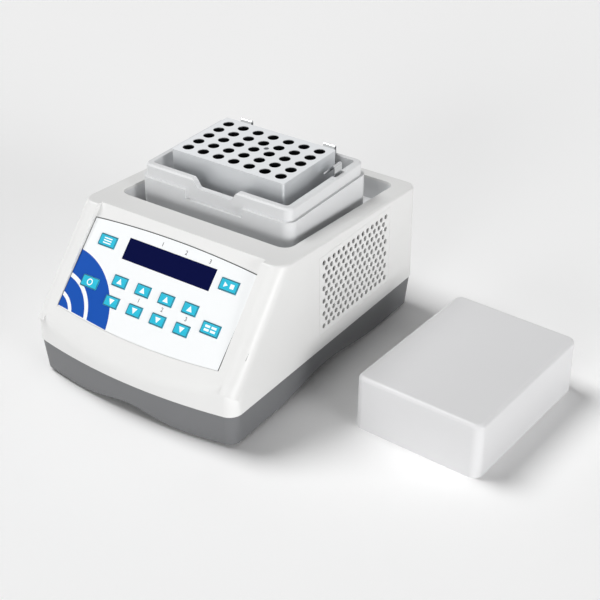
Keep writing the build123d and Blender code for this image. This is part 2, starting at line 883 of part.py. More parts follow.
with BuildPart() as drive_deck:
    with BuildSketch(Plane.XY.offset(deck_height)):
        with Locations((0, platform_y)):
            Rectangle(deck_width, deck_length)
    extrude(amount=deck_thickness)
    with BuildSketch(Plane.XY.offset(deck_bearing_bottom - bearing_shoulder)):
        with Locations(*deck_idler_points):
            RegularPolygon(bearing_outer_diameter / 2 + bearing_housing_wall, ring_sides)
    extrude(amount=deck_height + bearing_shoulder - deck_bearing_bottom)
    with BuildSketch(Plane.XY.offset(deck_bearing_bottom)):
        with Locations(*deck_idler_points):
            RegularPolygon(bearing_outer_diameter / 2 + seat_gap, ring_sides)
    extrude(amount=deck_top, mode=Mode.SUBTRACT)
    with BuildSketch(Plane.XY.offset(deck_bearing_bottom - bearing_shoulder)):
        with Locations(*deck_idler_points):
            RegularPolygon(bearing_outer_diameter / 2 - bearing_shoulder, ring_sides)
    extrude(amount=bearing_shoulder, mode=Mode.SUBTRACT)
    with BuildSketch(Plane.XY.offset(deck_height)):
        with Locations((drive_x, platform_y)):
            RegularPolygon(motor_boss_diameter / 2 + rim_gap, ring_sides)
        add(screw_outlines(screw_gap, motor_screw_points + pillar_points))
    extrude(amount=deck_thickness, mode=Mode.SUBTRACT)
save(drive_deck.part, "drive_deck")

with BuildPart() as motor_body:
    with BuildSketch(Plane.XY.offset(motor_bottom)):
        with Locations((drive_x, platform_y)):
            RegularPolygon(motor_diameter / 2, 2 * ring_sides)
    extrude(amount=motor_height)
    with BuildSketch(Plane.XY.offset(deck_height)):
        with Locations((drive_x, platform_y)):
            RegularPolygon(motor_boss_diameter / 2, ring_sides)
    extrude(amount=deck_thickness)
    with BuildSketch(Plane.XY.offset(deck_top)):
        with Locations((drive_x, platform_y)):
            Circle(shaft_diameter / 2 + running_gap)
    extrude(amount=-motor_height + deck_thickness, mode=Mode.SUBTRACT)
    with BuildSketch(Plane.XY.offset(deck_height)):
        add(screw_outlines(seat_gap, motor_screw_points))
    extrude(amount=-deck_screw_grip, mode=Mode.SUBTRACT)
save(motor_body.part, "motor_body")

deck_screw_length = deck_thickness + deck_screw_grip - axial_gap
with BuildPart() as deck_screws:
    add(screw(Plane.XY.offset(deck_top), deck_screw_length, motor_screw_points + pillar_points))
save(deck_screws.part, "deck_screws")

shaft_bottom = deck_top - motor_height + deck_thickness + axial_gap
with BuildPart() as motor_shaft:
    with BuildSketch(Plane.XY.offset(shaft_bottom)):
        with Locations((drive_x, platform_y)):
            Circle(shaft_diameter / 2)
    extrude(amount=crank_bottom + crank_thickness - crank_web - shaft_bottom)
save(motor_shaft.part, "motor_shaft")

with BuildPart() as drive_crank:
    with BuildSketch(Plane.XY.offset(crank_bottom)):
        with Locations((drive_x, platform_y)):
            RegularPolygon(crank_diameter / 2, 2 * ring_sides)
    extrude(amount=crank_thickness)
    with BuildSketch(Plane.XY.offset(crank_bottom)):
        with Locations((drive_x, platform_y)):
            RegularPolygon(shaft_diameter / 2 + seat_gap, ring_sides, major_radius=False)
    extrude(amount=crank_thickness - crank_web, mode=Mode.SUBTRACT)
    with BuildSketch(Plane.XY.offset(crank_bottom + crank_thickness)):
        with Locations((0, platform_y)):
            RegularPolygon(shoulder_diameter / 2, ring_sides)
    extrude(amount=platform_bearing_bottom - axial_gap - crank_bottom - crank_thickness)
    with BuildSketch(Plane.XY.offset(crank_bottom + crank_thickness)):
        with Locations((0, platform_y)):
            Circle(shaft_diameter / 2)
    extrude(amount=shaker_plate_height - crank_bottom - crank_thickness)
save(drive_crank.part, "drive_crank")

with BuildPart() as counterweight:
    with BuildSketch(Plane.XY.offset(crank_bottom)):
        with Locations((drive_x, platform_y)):
            RegularPolygon(counterweight_radius, 2 * ring_sides)
            RegularPolygon(crank_diameter / 2 + seat_gap, 2 * ring_sides, mode=Mode.SUBTRACT)
        with Locations((drive_x + counterweight_radius, platform_y)):
            Rectangle(2 * counterweight_radius, 2 * counterweight_radius, mode=Mode.SUBTRACT)
    extrude(amount=counterweight_thickness)
save(counterweight.part, "counterweight")

idler_bottom = deck_bearing_bottom - bearing_shoulder / 2
idler_top = crank_bottom + idler_disc_thickness
for idler_name, (offset_x, offset_y) in zip(("idler_left", "idler_right", "idler_front"), idler_offsets):
    deck_point = (drive_x + offset_x, platform_y + offset_y)
    pin_point = (offset_x, platform_y + offset_y)
    with BuildPart() as idler:
        with BuildSketch(Plane.XY.offset(idler_bottom)):
            with Locations(deck_point):
                Circle(shaft_diameter / 2)
        extrude(amount=crank_bottom - idler_bottom)
        with BuildSketch(Plane.XY.offset(deck_top)):
            with Locations(deck_point):
                RegularPolygon(shoulder_diameter / 2, ring_sides)
        extrude(amount=crank_lift)
        with BuildSketch(Plane.XY.offset(crank_bottom)):
            with Locations(deck_point):
                RegularPolygon(idler_disc_diameter / 2, ring_sides)
        extrude(amount=idler_disc_thickness)
        with BuildSketch(Plane.XY.offset(idler_top)):
            with Locations(pin_point):
                RegularPolygon(shoulder_diameter / 2, ring_sides)
        extrude(amount=platform_bearing_bottom - axial_gap - idler_top)
        with BuildSketch(Plane.XY.offset(idler_top)):
            with Locations(pin_point):
                Circle(shaft_diameter / 2)
        extrude(amount=shaker_plate_height - idler_top)
    save(idler.part, idler_name)


def bearings(bottom, points):
    """Ball bearings drawn as closed rings, standing on bottom."""
    with BuildPart() as rings:
        with BuildSketch(Plane.XY.offset(bottom)):
            with Locations(*points):
                RegularPolygon(bearing_outer_diameter / 2, ring_sides)
                Circle(shaft_diameter / 2 + running_gap, mode=Mode.SUBTRACT)
        extrude(amount=bearing_width)
    return rings.part


save(bearings(deck_bearing_bottom, deck_idler_points), "deck_bearings")
save(bearings(platform_bearing_bottom, pin_points), "platform_bearings")

shaker_plate_top = shaker_plate_height + shaker_plate_thickness
carrier_screw_points = [
    (place.position.X, place.position.Y + platform_y)
    for place in GridLocations(
        shaker_plate_width - 2 * carrier_screw_inset, shaker_plate_length - 2 * carrier_screw_inset, 2, 2
    )
]
with BuildPart() as shaker_plate:
    with BuildSketch(Plane.XY.offset(shaker_plate_height)):
        with Locations((0, platform_y)):
            RectangleRounded(shaker_plate_width, shaker_plate_length, carrier_corner_radius)
    extrude(amount=shaker_plate_thickness)
    with BuildSketch(Plane.XY.offset(platform_bearing_bottom)):
        with Locations(*pin_points):
            RegularPolygon(bearing_outer_diameter / 2 + bearing_housing_wall, ring_sides)
            RegularPolygon(bearing_outer_diameter / 2 + seat_gap, ring_sides, mode=Mode.SUBTRACT)
    extrude(amount=bearing_width)
    with BuildSketch(Plane.XY.offset(shaker_plate_height)):
        with Locations(*pin_points):
            RegularPolygon(bearing_outer_diameter / 2 - bearing_shoulder, ring_sides)
    extrude(amount=shaker_plate_thickness / 2, mode=Mode.SUBTRACT)
    with BuildSketch(Plane.XY.offset(shaker_plate_height)):
        add(screw_outlines(seat_gap, carrier_screw_points))
    extrude(amount=shaker_plate_thickness, mode=Mode.SUBTRACT)
save(shaker_plate.part, "shaker_plate")


# ---------------------------------------------------------------- block carrier

floor_of_carrier = shaker_plate_top + carrier_floor
rim_width = carrier_width - 2 * (lid_wall + lid_ledge_gap)
rim_length = carrier_length - 2 * (lid_wall + lid_ledge_gap)
rim_radius = carrier_corner_radius - lid_wall - lid_ledge_gap
mouth_width = rim_width - 2 * rim_thickness
mouth_length = rim_length - 2 * rim_thickness
tongue_outer_width = carrier_width - 2 * carrier_wall - 2 * rim_gap
tongue_outer_length = carrier_length - 2 * carrier_wall - 2 * rim_gap

with BuildPart() as carrier_body:
    with BuildSketch(Plane.XY.offset(shaker_plate_top)):
        with Locations((0, platform_y)):
            RectangleRounded(carrier_width, carrier_length, carrier_corner_radius)
    extrude(amount=ledge_height - shaker_plate_top)
    with BuildSketch(Plane.XY.offset(floor_of_carrier)):
        with Locations((0, platform_y)):
            RectangleRounded(
                carrier_width - 2 * carrier_wall,
                carrier_length - 2 * carrier_wall,
                carrier_corner_radius - carrier_wall,
            )
    extrude(amount=ledge_height, mode=Mode.SUBTRACT)
    with BuildSketch(Plane.XY.offset(ledge_height - apron_depth - rim_gap)):
        with Locations((0, platform_y - carrier_length / 2)):
            Rectangle(apron_width + 2 * rim_gap, 4 * carrier_wall)
    extrude(amount=ledge_height, mode=Mode.SUBTRACT)
    with BuildSketch(Plane.XY.offset(shaker_plate_top)):
        add(screw_outlines(screw_gap, carrier_screw_points))
    extrude(amount=carrier_floor, mode=Mode.SUBTRACT)
save(carrier_body.part, "carrier_body")

with BuildPart() as carrier_screws:
    grip = carrier_floor + shaker_plate_thickness
    add(screw(Plane.XY.offset(floor_of_carrier), grip, carrier_screw_points))
save(carrier_screws.part, "carrier_screws")

right_wall_plane = Plane(origin=(mouth_width / 2, clip_side_y, 0), x_dir=(0, 1, 0), z_dir=(1, 0, 0))
back_wall_y = platform_y + mouth_length / 2
clip_planes = {
    "clip_right": right_wall_plane,
    "clip_back_left": Plane((-clip_back_spacing / 2, back_wall_y, 0), (-1, 0, 0), (0, 1, 0)),
    "clip_back_right": Plane((clip_back_spacing / 2, back_wall_y, 0), (-1, 0, 0), (0, 1, 0)),
}
# seen on each of these planes: X along the wall, Y up, and the normal points out through the wall
clip_inner_face = clip_setback - clip_thickness / 2
clip_outer_face = clip_setback + clip_thickness / 2

with BuildPart() as carrier_rim:
    with BuildSketch(Plane.XY.offset(ledge_height)):
        with Locations((0, platform_y)):
            RectangleRounded(rim_width, rim_length, rim_radius)
    extrude(amount=rim_height - ledge_height)
    chamfer(carrier_rim.faces().sort_by(Axis.Z)[-1].edges(), length=rim_chamfer)
    with BuildSketch(Plane.XY.offset(ledge_height - rim_tongue)):
        with Locations((0, platform_y)):
            RectangleRounded(tongue_outer_width, tongue_outer_length, carrier_corner_radius - carrier_wall)
    extrude(amount=rim_tongue)
    with BuildSketch(Plane.XY.offset(ledge_height - apron_depth)):
        with Locations((0, platform_y - rim_length / 2 + rim_thickness / 2)):
            Rectangle(apron_width, rim_thickness)
    extrude(amount=apron_depth)
    with BuildSketch(Plane.XY.offset(ledge_height - rim_tongue)):
        with Locations((0, platform_y)):
            RectangleRounded(mouth_width, mouth_length, rim_radius / 2)
    extrude(amount=rim_height, mode=Mode.SUBTRACT)
    # finger notch in the front
    with BuildSketch(Plane.XZ.offset(-platform_y + mouth_length / 2 - 1)):
        notch_bottom = rim_height - notch_depth
        with BuildLine():
            FilletPolyline(
                (-notch_top_width, rim_height),
                (-notch_top_width / 2, rim_height),
                (-notch_bottom_width / 2, notch_bottom),
                (notch_bottom_width / 2, notch_bottom),
                (notch_top_width / 2, rim_height),
                (notch_top_width, rim_height),
                radius=4,
            )
            Polyline(
                (notch_top_width, rim_height),
                (notch_top_width, rim_height + notch_depth),
                (-notch_top_width, rim_height + notch_depth),
                (-notch_top_width, rim_height),
            )
        make_face()
    extrude(amount=2 * rim_thickness, mode=Mode.SUBTRACT)
    # slots for the spring clips, with a seat for each clip's foot
    for plane in clip_planes.values():
        slot_height = rim_height - clip_screw_height
        with BuildSketch(plane):
            with Locations((0, clip_screw_height + slot_height / 2)):
                Rectangle(clip_width + 2, slot_height)
        extrude(amount=clip_outer_face + clip_play, mode=Mode.SUBTRACT)
        foot_seat_height = clip_screw_height - ledge_height + rim_tongue
        with BuildSketch(plane):
            with Locations((0, clip_screw_height - foot_seat_height / 2)):
                Rectangle(clip_width + 2, foot_seat_height)
        extrude(amount=clip_outer_face + axial_gap, mode=Mode.SUBTRACT)
        with BuildSketch(plane):
            add(screw_outlines(seat_gap, [(0, clip_screw_height)]))
        extrude(amount=rim_thickness, mode=Mode.SUBTRACT)
save(carrier_rim.part, "carrier_rim")


# ---------------------------------------------------------------- spring clips

for clip_name, plane in clip_planes.items():
    middle = plane.offset(clip_setback)
    # the clip's profile lies across the wall: X inwards from its leg, Y up
    profile_plane = Plane(origin=middle.origin, x_dir=-plane.z_dir, z_dir=plane.x_dir)
    with BuildPart() as clip:
        with BuildSketch(profile_plane):
            with BuildLine():
                FilletPolyline(
                    (0, clip_foot_height),
                    (0, clip_ridge_height),
                    (clip_reach, clip_tip_height),
                    (clip_reach + 1.6, clip_tip_height + 1.6),
                    radius=clip_bend_radius,
                )
            trace(line_width=clip_thickness)
        extrude(amount=clip_width / 2, both=True)
        with BuildSketch(plane):
            add(screw_outlines(screw_gap, [(0, clip_screw_height)]))
        extrude(amount=clip_outer_face, mode=Mode.SUBTRACT)
    save(clip.part, clip_name)

with BuildPart() as clip_screws:
    for plane in clip_planes.values():
        head_face = plane.offset(clip_inner_face - axial_gap)
        turned = Plane(origin=head_face.origin, x_dir=-plane.x_dir, z_dir=-plane.z_dir)
        add(screw(turned, clip_play + clip_thickness + 2 * axial_gap, [(0, clip_screw_height)]))
save(clip_screws.part, "clip_screws")


# ---------------------------------------------------------------- heater and block

block_bottom = block_top_height - block_height
heater_plate_bottom = block_bottom - heater_plate_thickness
pad_bottom = heater_plate_bottom - heater_pad_thickness
post_grid = [
    (place.position.X, place.position.Y + platform_y)
    for place in GridLocations(post_spacing_x, post_spacing_y, 2, 2)
]
pocket_grid = [
    (place.position.X, place.position.Y + platform_y)
    for place in GridLocations(pocket_pitch_x, pocket_pitch_y, pocket_columns, pocket_rows)
]
block_screw_grid = [
    (place.position.X, place.position.Y + platform_y)
    for place in GridLocations(pocket_pitch_x * 5, pocket_pitch_y, 2, 2)
]

with BuildPart() as heating_block:
    with BuildSketch(Plane.XY.offset(block_bottom)):
        with Locations((0, platform_y)):
            RectangleRounded(block_width, block_length, block_corner_radius)
    extrude(amount=block_height)
    with BuildSketch(Plane.XY.offset(block_top_height)):
        with Locations(*pocket_grid):
            Circle(pocket_diameter / 2)
    extrude(amount=-pocket_depth, mode=Mode.SUBTRACT)
    # a shallow seat in the middle of each pocket's floor takes the tip of the tube
    with BuildSketch(Plane.XY.offset(block_top_height - pocket_depth)):
        with Locations(*pocket_grid):
            RegularPolygon(pocket_seat_width / 2, screw_sides)
    extrude(amount=-pocket_seat_depth, mode=Mode.SUBTRACT)
    with BuildSketch(Plane.XY.offset(block_bottom)):
        add(screw_outlines(seat_gap, block_screw_grid))
    extrude(amount=block_screw_grip, mode=Mode.SUBTRACT)
save(heating_block.part, "heating_block")

with BuildPart() as heater_plate:
    with BuildSketch(Plane.XY.offset(heater_plate_bottom)):
        with Locations((0, platform_y)):
            RectangleRounded(block_width, block_length, block_corner_radius)
        add(screw_outlines(screw_gap, block_screw_grid), mode=Mode.SUBTRACT)
    extrude(amount=heater_plate_thickness)
    with BuildSketch(Plane.XZ.offset(-platform_y - block_length / 2)):
        with Locations((0, heater_plate_bottom + heater_plate_thickness / 2)):
            RegularPolygon(sensor_diameter / 2 + seat_gap, boss_sides)
    extrude(amount=sensor_length - sensor_diameter + axial_gap, mode=Mode.SUBTRACT)
save(heater_plate.part, "heater_plate")

with BuildPart() as temperature_sensor:
    with BuildSketch(Plane.XZ.offset(-platform_y - block_length / 2 - sensor_diameter)):
        with Locations((0, heater_plate_bottom + heater_plate_thickness / 2)):
            RegularPolygon(sensor_diameter / 2, boss_sides)
    extrude(amount=sensor_length)
save(temperature_sensor.part, "temperature_sensor")

with BuildPart() as heater_pad:
    with BuildSketch(Plane.XY.offset(pad_bottom)):
        with Locations((0, platform_y)):
            Rectangle(block_width - 2 * block_corner_radius, block_length - 2 * block_corner_radius)
        with Locations(*post_grid):
            RegularPolygon(post_diameter / 2 + screw_gap, boss_sides, mode=Mode.SUBTRACT)
        with Locations(*block_screw_grid):
            RegularPolygon(screw_head_diameter / 2 + screw_gap, screw_sides, mode=Mode.SUBTRACT)
    extrude(amount=heater_pad_thickness)
save(heater_pad.part, "heater_pad")

with BuildPart() as plate_posts:
    with BuildSketch(Plane.XY.offset(floor_of_carrier)):
        with Locations(*post_grid):
            RegularPolygon(post_diameter / 2, boss_sides)
    extrude(amount=heater_plate_bottom - floor_of_carrier)
save(plate_posts.part, "plate_posts")

with BuildPart() as block_screws:
    under_plate = Plane(origin=(0, 0, heater_plate_bottom), x_dir=(1, 0, 0), z_dir=(0, 0, -1))
    grip = heater_plate_thickness + block_screw_grip - axial_gap
    add(screw(under_plate, grip, [(x, -y) for x, y in block_screw_grid]))
save(block_screws.part, "block_screws")


# ---------------------------------------------------------------- lid, on the bench beside the case

lid_along = (cos(radians(lid_turn)), sin(radians(lid_turn)), 0)
lid_plane = Plane(origin=(lid_x, lid_y, 0), x_dir=lid_along, z_dir=(0, 0, 1))
with BuildPart() as lid_shell:
    with BuildSketch(lid_plane):
        RectangleRounded(carrier_width, carrier_length, lid_corner_radius)
    extrude(amount=lid_height, taper=lid_draft)
    fillet(lid_shell.faces().sort_by(Axis.Z)[-1].edges(), radius=lid_top_radius)
    with BuildSketch(lid_plane):
        core_width = carrier_width - 2 * lid_wall
        core_length = carrier_length - 2 * lid_wall
        RectangleRounded(core_width, core_length, lid_corner_radius - lid_wall)
    extrude(amount=lid_height - lid_wall, mode=Mode.SUBTRACT)
save(lid_shell.part, "lid_shell")


# ---------------------------------------------------------------- rear: inlet and switch

def back_wall_y_at(height):
    """Where the drafted back wall's outside stands at this height."""
    return half_length - (height - joint_height) * tan(radians(wall_draft))


rear_face_y = back_wall_y_at(inlet_height - inlet_flange_height / 2) + seat_gap
inlet_plane = Plane(origin=(inlet_x, rear_face_y, inlet_height), x_dir=(-1, 0, 0), z_dir=(0, 1, 0))
switch_plane = Plane(origin=(switch_x, rear_face_y, inlet_height), x_dir=(-1, 0, 0), z_dir=(0, 1, 0))

with BuildPart() as power_inlet:
    with BuildSketch(inlet_plane):
        Rectangle(inlet_flange_width, inlet_flange_height)
    extrude(amount=inlet_flange_thickness)
    with BuildSketch(inlet_plane):
        Rectangle(inlet_body_width, inlet_body_height)
    extrude(amount=-inlet_body_depth)
    with BuildSketch(inlet_plane.offset(inlet_flange_thickness)):
        cavity = Rectangle(inlet_cavity_width, inlet_cavity_height)
        chamfer(cavity.vertices().sort_by(Axis.Y)[-2:], length=inlet_cavity_corner)
    extrude(amount=-inlet_cavity_depth, mode=Mode.SUBTRACT)
save(power_inlet.part, "power_inlet")

with BuildPart() as inlet_blades:
    with BuildSketch(inlet_plane.offset(inlet_flange_thickness - inlet_cavity_depth)):
        with Locations((-blade_spacing, -blade_drop), (blade_spacing, -blade_drop), (0, blade_drop)):
            Rectangle(blade_width, blade_height)
    extrude(amount=inlet_cavity_depth - 3)
save(inlet_blades.part, "inlet_blades")

recess_width = switch_body_width - 2 * switch_wall
recess_height = switch_body_height - 2 * switch_wall
rocker_width = recess_width - 2 * axial_gap
rocker_half = recess_height / 2 - rocker_end_gap
rocker_axis_place = switch_plane.offset(-rocker_axis_depth).origin
with BuildPart() as switch_body:
    with BuildSketch(switch_plane):
        Rectangle(switch_body_width + 2 * switch_flange, switch_body_height + 2 * switch_flange)
    extrude(amount=switch_flange)
    with BuildSketch(switch_plane):
        Rectangle(switch_body_width, switch_body_height)
    extrude(amount=-switch_body_depth)
    with BuildSketch(switch_plane.offset(switch_flange)):
        Rectangle(recess_width, recess_height)
    extrude(amount=-switch_flange - 2 * rocker_axis_depth - rocker_half / 2, mode=Mode.SUBTRACT)
    with BuildSketch(Plane(rocker_axis_place, (0, 1, 0), (1, 0, 0))):
        Circle(rocker_pin_diameter / 2 + running_gap)
    extrude(amount=recess_width / 2 + 1, both=True, mode=Mode.SUBTRACT)
save(switch_body.part, "switch_body")

rocker_plane = Plane(
    origin=rocker_axis_place,
    x_dir=(0, cos(radians(rocker_throw / 2)), -sin(radians(rocker_throw / 2))),
    z_dir=(1, 0, 0),
)
with BuildPart() as power_rocker:
    with BuildSketch(rocker_plane):
        with BuildLine():
            Polyline(
                (-rocker_axis_depth, -rocker_half / 2),
                (rocker_axis_depth + rocker_crown, -rocker_half),
                (rocker_axis_depth, 0),
                (rocker_axis_depth + rocker_crown, rocker_half),
                (-rocker_axis_depth, rocker_half / 2),
                close=True,
            )
        make_face()
    extrude(amount=rocker_width / 2, both=True)
    with BuildSketch(rocker_plane):
        Circle(rocker_pin_diameter / 2)
    extrude(amount=recess_width / 2 + 1 - running_gap, both=True)
save(power_rocker.part, "power_rocker")


# ---------------------------------------------------------------- fan

fan_outer_x = -(case_width / 2 - wall - 1.2)
fan_inner_x = fan_outer_x + fan_depth
fan_face = Plane(origin=(fan_outer_x, fan_y, fan_height), x_dir=(0, 1, 0), z_dir=(1, 0, 0))
fan_cup_thickness = 3.0
fan_cup_plane = fan_face.offset(fan_depth - fan_cup_thickness)
fan_strut_angles = [30, 150, 270]

with BuildPart() as fan_frame:
    with BuildSketch(fan_face):
        Rectangle(fan_size, fan_size)
        RegularPolygon(fan_bore_diameter / 2, 2 * ring_sides, mode=Mode.SUBTRACT)
        with GridLocations(fan_hole_spacing, fan_hole_spacing, 2, 2):
            RegularPolygon(screw_diameter / 2 + screw_gap, screw_sides, mode=Mode.SUBTRACT)
    extrude(amount=fan_depth)
    with BuildSketch(fan_cup_plane):
        for angle in fan_strut_angles:
            strut_middle = (fan_size / 4 * cos(radians(angle)), fan_size / 4 * sin(radians(angle)))
            with Locations(Location(strut_middle, angle)):
                Rectangle(fan_bore_diameter / 2 + 1, fan_cup_thickness)
        RegularPolygon(fan_hub_diameter / 2, ring_sides)
        Circle(fan_axle_diameter / 2 + running_gap, mode=Mode.SUBTRACT)
    extrude(amount=fan_cup_thickness)
save(fan_frame.part, "fan_frame")

fan_hub_depth = fan_depth - fan_cup_thickness - 3 * axial_gap
with BuildPart() as fan_rotor:
    with BuildSketch(fan_face.offset(2 * axial_gap)):
        RegularPolygon(fan_hub_diameter / 2, ring_sides)
    extrude(amount=fan_hub_depth)
    blade_length = fan_blade_span - fan_hub_diameter / 2 + 1
    for step in range(fan_blade_count):
        angle = radians(step * 360 / fan_blade_count)
        outward = Vector(0, cos(angle), sin(angle))
        root = Vector(fan_outer_x + 2 * axial_gap + fan_hub_depth / 2, fan_y, fan_height)
        root += outward * (fan_hub_diameter / 2 - 1)
        with BuildSketch(Plane(origin=root, x_dir=(1, 0, 0), z_dir=outward)):
            Rectangle(fan_blade_chord, fan_blade_thickness, rotation=fan_blade_pitch)
        extrude(amount=blade_length)
    with BuildSketch(fan_face.offset(2 * axial_gap + fan_hub_depth)):
        Circle(fan_axle_diameter / 2)
    extrude(amount=fan_cup_thickness)
save(fan_rotor.part, "fan_rotor")
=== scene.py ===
# %% [markdown]
# # Dressing a thermal mixer
# A thermal mixer warms small sample tubes in an aluminium block and shakes the block round in a
# 3 mm circle. The solids are already made to size, so this lesson only gives them their looks:
# moulded plastic, machined metal, a printed key panel and a plain studio to see them in.
# Every piece is made in metres, in the frame that the solids stand in.

# %% The frame
from math import cos, radians, sin

import bpy
from mathutils import Matrix, Vector


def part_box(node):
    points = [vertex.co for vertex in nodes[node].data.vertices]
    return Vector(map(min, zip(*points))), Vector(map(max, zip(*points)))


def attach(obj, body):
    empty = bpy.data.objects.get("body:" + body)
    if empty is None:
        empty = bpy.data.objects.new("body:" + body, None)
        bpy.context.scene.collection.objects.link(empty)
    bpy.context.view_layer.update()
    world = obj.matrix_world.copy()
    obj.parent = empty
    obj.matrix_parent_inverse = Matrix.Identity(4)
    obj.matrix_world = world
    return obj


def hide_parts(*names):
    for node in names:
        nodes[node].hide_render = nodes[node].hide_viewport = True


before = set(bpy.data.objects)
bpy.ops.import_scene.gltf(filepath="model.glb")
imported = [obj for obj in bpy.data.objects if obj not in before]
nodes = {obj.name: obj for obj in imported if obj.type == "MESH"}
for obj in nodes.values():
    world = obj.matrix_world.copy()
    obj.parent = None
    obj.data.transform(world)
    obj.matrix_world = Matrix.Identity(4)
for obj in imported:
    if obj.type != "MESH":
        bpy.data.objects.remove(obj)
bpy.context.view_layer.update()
millimetre = 0.001

# the case is symmetrical about this plane, and most pieces are placed from it
base_low, base_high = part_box("lower_base")
case_x = (base_low[0] + base_high[0]) / 2

# the side walls stand this far from that plane at the joint's height, and lean in above it
wall_reach = 0.1146
joint_height = 0.036
draft = radians(0.7)

# the key panel's top edge has its middle here, and its outline's sizes are in millimetres
panel_middle = Vector((case_x, -0.0772, 0.1386))
panel_slope = radians(47.25)
panel_half = 92.25
panel_drop = 88.4
panel_top_bow = 4.2
print("solids in the frame:", len(nodes))


# %% [markdown]
# ## Helpers
# Three small tools serve the whole lesson. One turns a colour as a designer writes it into the
# linear values that a renderer needs, one adds a shader node with its settings and its links, and
# one picks out a single object, because an edit works on all that is selected.

# %% Helpers
def linear(hex_colour):
    """Linear red, green, blue and alpha of an sRGB colour such as #e6e5e0."""
    channels = [int(hex_colour[i:i + 2], 16) / 255 for i in (1, 3, 5)]
    return [c / 12.92 if c <= 0.04045 else ((c + 0.055) / 1.055) ** 2.4 for c in channels] + [1.0]


def add_node(tree, kind, links=None, **settings):
    """Adds a node; links maps an input's name or number to a value or to another node's output."""
    made = tree.nodes.new(kind)
    for name, value in settings.items():
        setattr(made, name, value)
    for name, value in (links or {}).items():
        if isinstance(value, bpy.types.NodeSocket):
            tree.links.new(value, made.inputs[name])
        else:
            made.inputs[name].default_value = value
    return made


def pick(*objects):
    """Leaves only these objects selected, the first of them active."""
    bpy.ops.object.select_all(action="DESELECT")
    for thing in objects:
        thing.select_set(True)
    bpy.context.view_layer.objects.active = objects[0]


def begin_material(name, base, roughness, metallic=0.0):
    """A new material with its Principled shader's plain values set; returns it, its tree and shader."""
    material = bpy.data.materials.new(name)
    material.use_nodes = True
    tree = material.node_tree
    shader = tree.nodes["Principled BSDF"]
    shader.inputs["Base Color"].default_value = linear(base)
    shader.inputs["Roughness"].default_value = roughness
    shader.inputs["Metallic"].default_value = metallic
    return material, tree, shader


def dress(material, *names):
    """Gives solids their finish."""
    for name in names:
        solid = nodes[name]
        solid.data.materials.clear()
        solid.data.materials.append(material)


# %% [markdown]
# ## Moulded plastic
# The case, the carrier and the lid are injection-moulded ABS. The steel mould is spark-eroded, so
# the part comes out with a fine even grain that kills the shine, and its colour drifts a little
# where the melt flowed. The grain is drawn as small noise bumps, the drift as wide faint noise.

# %% Moulded plastic
def moulded_plastic(name, base, drift, roughness, grain=0.45, depth=0.012):
    """Spark-eroded ABS; grain and depth in millimetres, drift a second hex colour."""
    material, tree, shader = begin_material(name, base, roughness)
    place = add_node(tree, "ShaderNodeTexCoord")
    wide = add_node(
        tree, "ShaderNodeTexNoise", {"Vector": place.outputs["Object"], "Scale": 9.0, "Detail": 2.0},
    )
    tint = add_node(tree, "ShaderNodeMix", {"Factor": wide.outputs["Fac"]}, data_type="RGBA")
    tint.inputs["A"].default_value = linear(base)
    tint.inputs["B"].default_value = linear(drift)
    tree.links.new(tint.outputs["Result"], shader.inputs["Base Color"])
    fine = add_node(
        tree, "ShaderNodeTexNoise",
        {"Vector": place.outputs["Object"], "Scale": 1 / (grain * millimetre), "Detail": 1.0},
    )
    gloss = add_node(
        tree, "ShaderNodeMapRange",
        {"Value": fine.outputs["Fac"], "To Min": roughness - 0.05, "To Max": roughness + 0.05},
    )
    tree.links.new(gloss.outputs["Result"], shader.inputs["Roughness"])
    bump = add_node(
        tree, "ShaderNodeBump",
        {"Height": fine.outputs["Fac"], "Distance": depth * millimetre, "Strength": 0.6},
    )
    tree.links.new(bump.outputs["Normal"], shader.inputs["Normal"])
    shader.inputs["IOR"].default_value = 1.52
    return material


def within(tree, low, high, soft=0.1):
    """A value of 1 where the surface lies between two corners given in metres, and 0 outside them."""
    place = add_node(tree, "ShaderNodeTexCoord")
    middle = (Vector(low) + Vector(high)) / 2
    half = (Vector(high) - Vector(low)) / 2
    offset = add_node(
        tree, "ShaderNodeVectorMath", {0: place.outputs["Object"], 1: middle}, operation="SUBTRACT",
    )
    distance = add_node(tree, "ShaderNodeVectorMath", {0: offset.outputs["Vector"]}, operation="ABSOLUTE")
    spare = add_node(
        tree, "ShaderNodeVectorMath", {0: half, 1: distance.outputs["Vector"]}, operation="SUBTRACT",
    )
    parts = add_node(tree, "ShaderNodeSeparateXYZ", {"Vector": spare.outputs["Vector"]})
    least = add_node(
        tree, "ShaderNodeMath", {0: parts.outputs["X"], 1: parts.outputs["Y"]}, operation="MINIMUM",
    )
    least = add_node(
        tree, "ShaderNodeMath", {0: least.outputs["Value"], 1: parts.outputs["Z"]}, operation="MINIMUM",
    )
    return add_node(
        tree, "ShaderNodeMapRange",
        {"Value": least.outputs["Value"], "From Min": 0.0, "From Max": soft * millimetre},
    ).outputs["Result"]


def coat(material, colour, low, high):
    """Paints what lies between two corners in another colour, over whatever colour is there; both uses here
    are dark painted shade.
    """
    tree = material.node_tree
    shader = tree.nodes["Principled BSDF"]
    under = shader.inputs["Base Color"]
    paint = add_node(tree, "ShaderNodeMix", {"Factor": within(tree, low, high)}, data_type="RGBA")
    if under.is_linked:
        tree.links.new(under.links[0].from_socket, paint.inputs["A"])
    else:
        paint.inputs["A"].default_value = under.default_value
    paint.inputs["B"].default_value = linear(colour)
    tree.links.new(paint.outputs["Result"], under)


case_white = moulded_plastic("spark eroded white ABS", "#e4e4e3", "#dfdfde", 0.42)
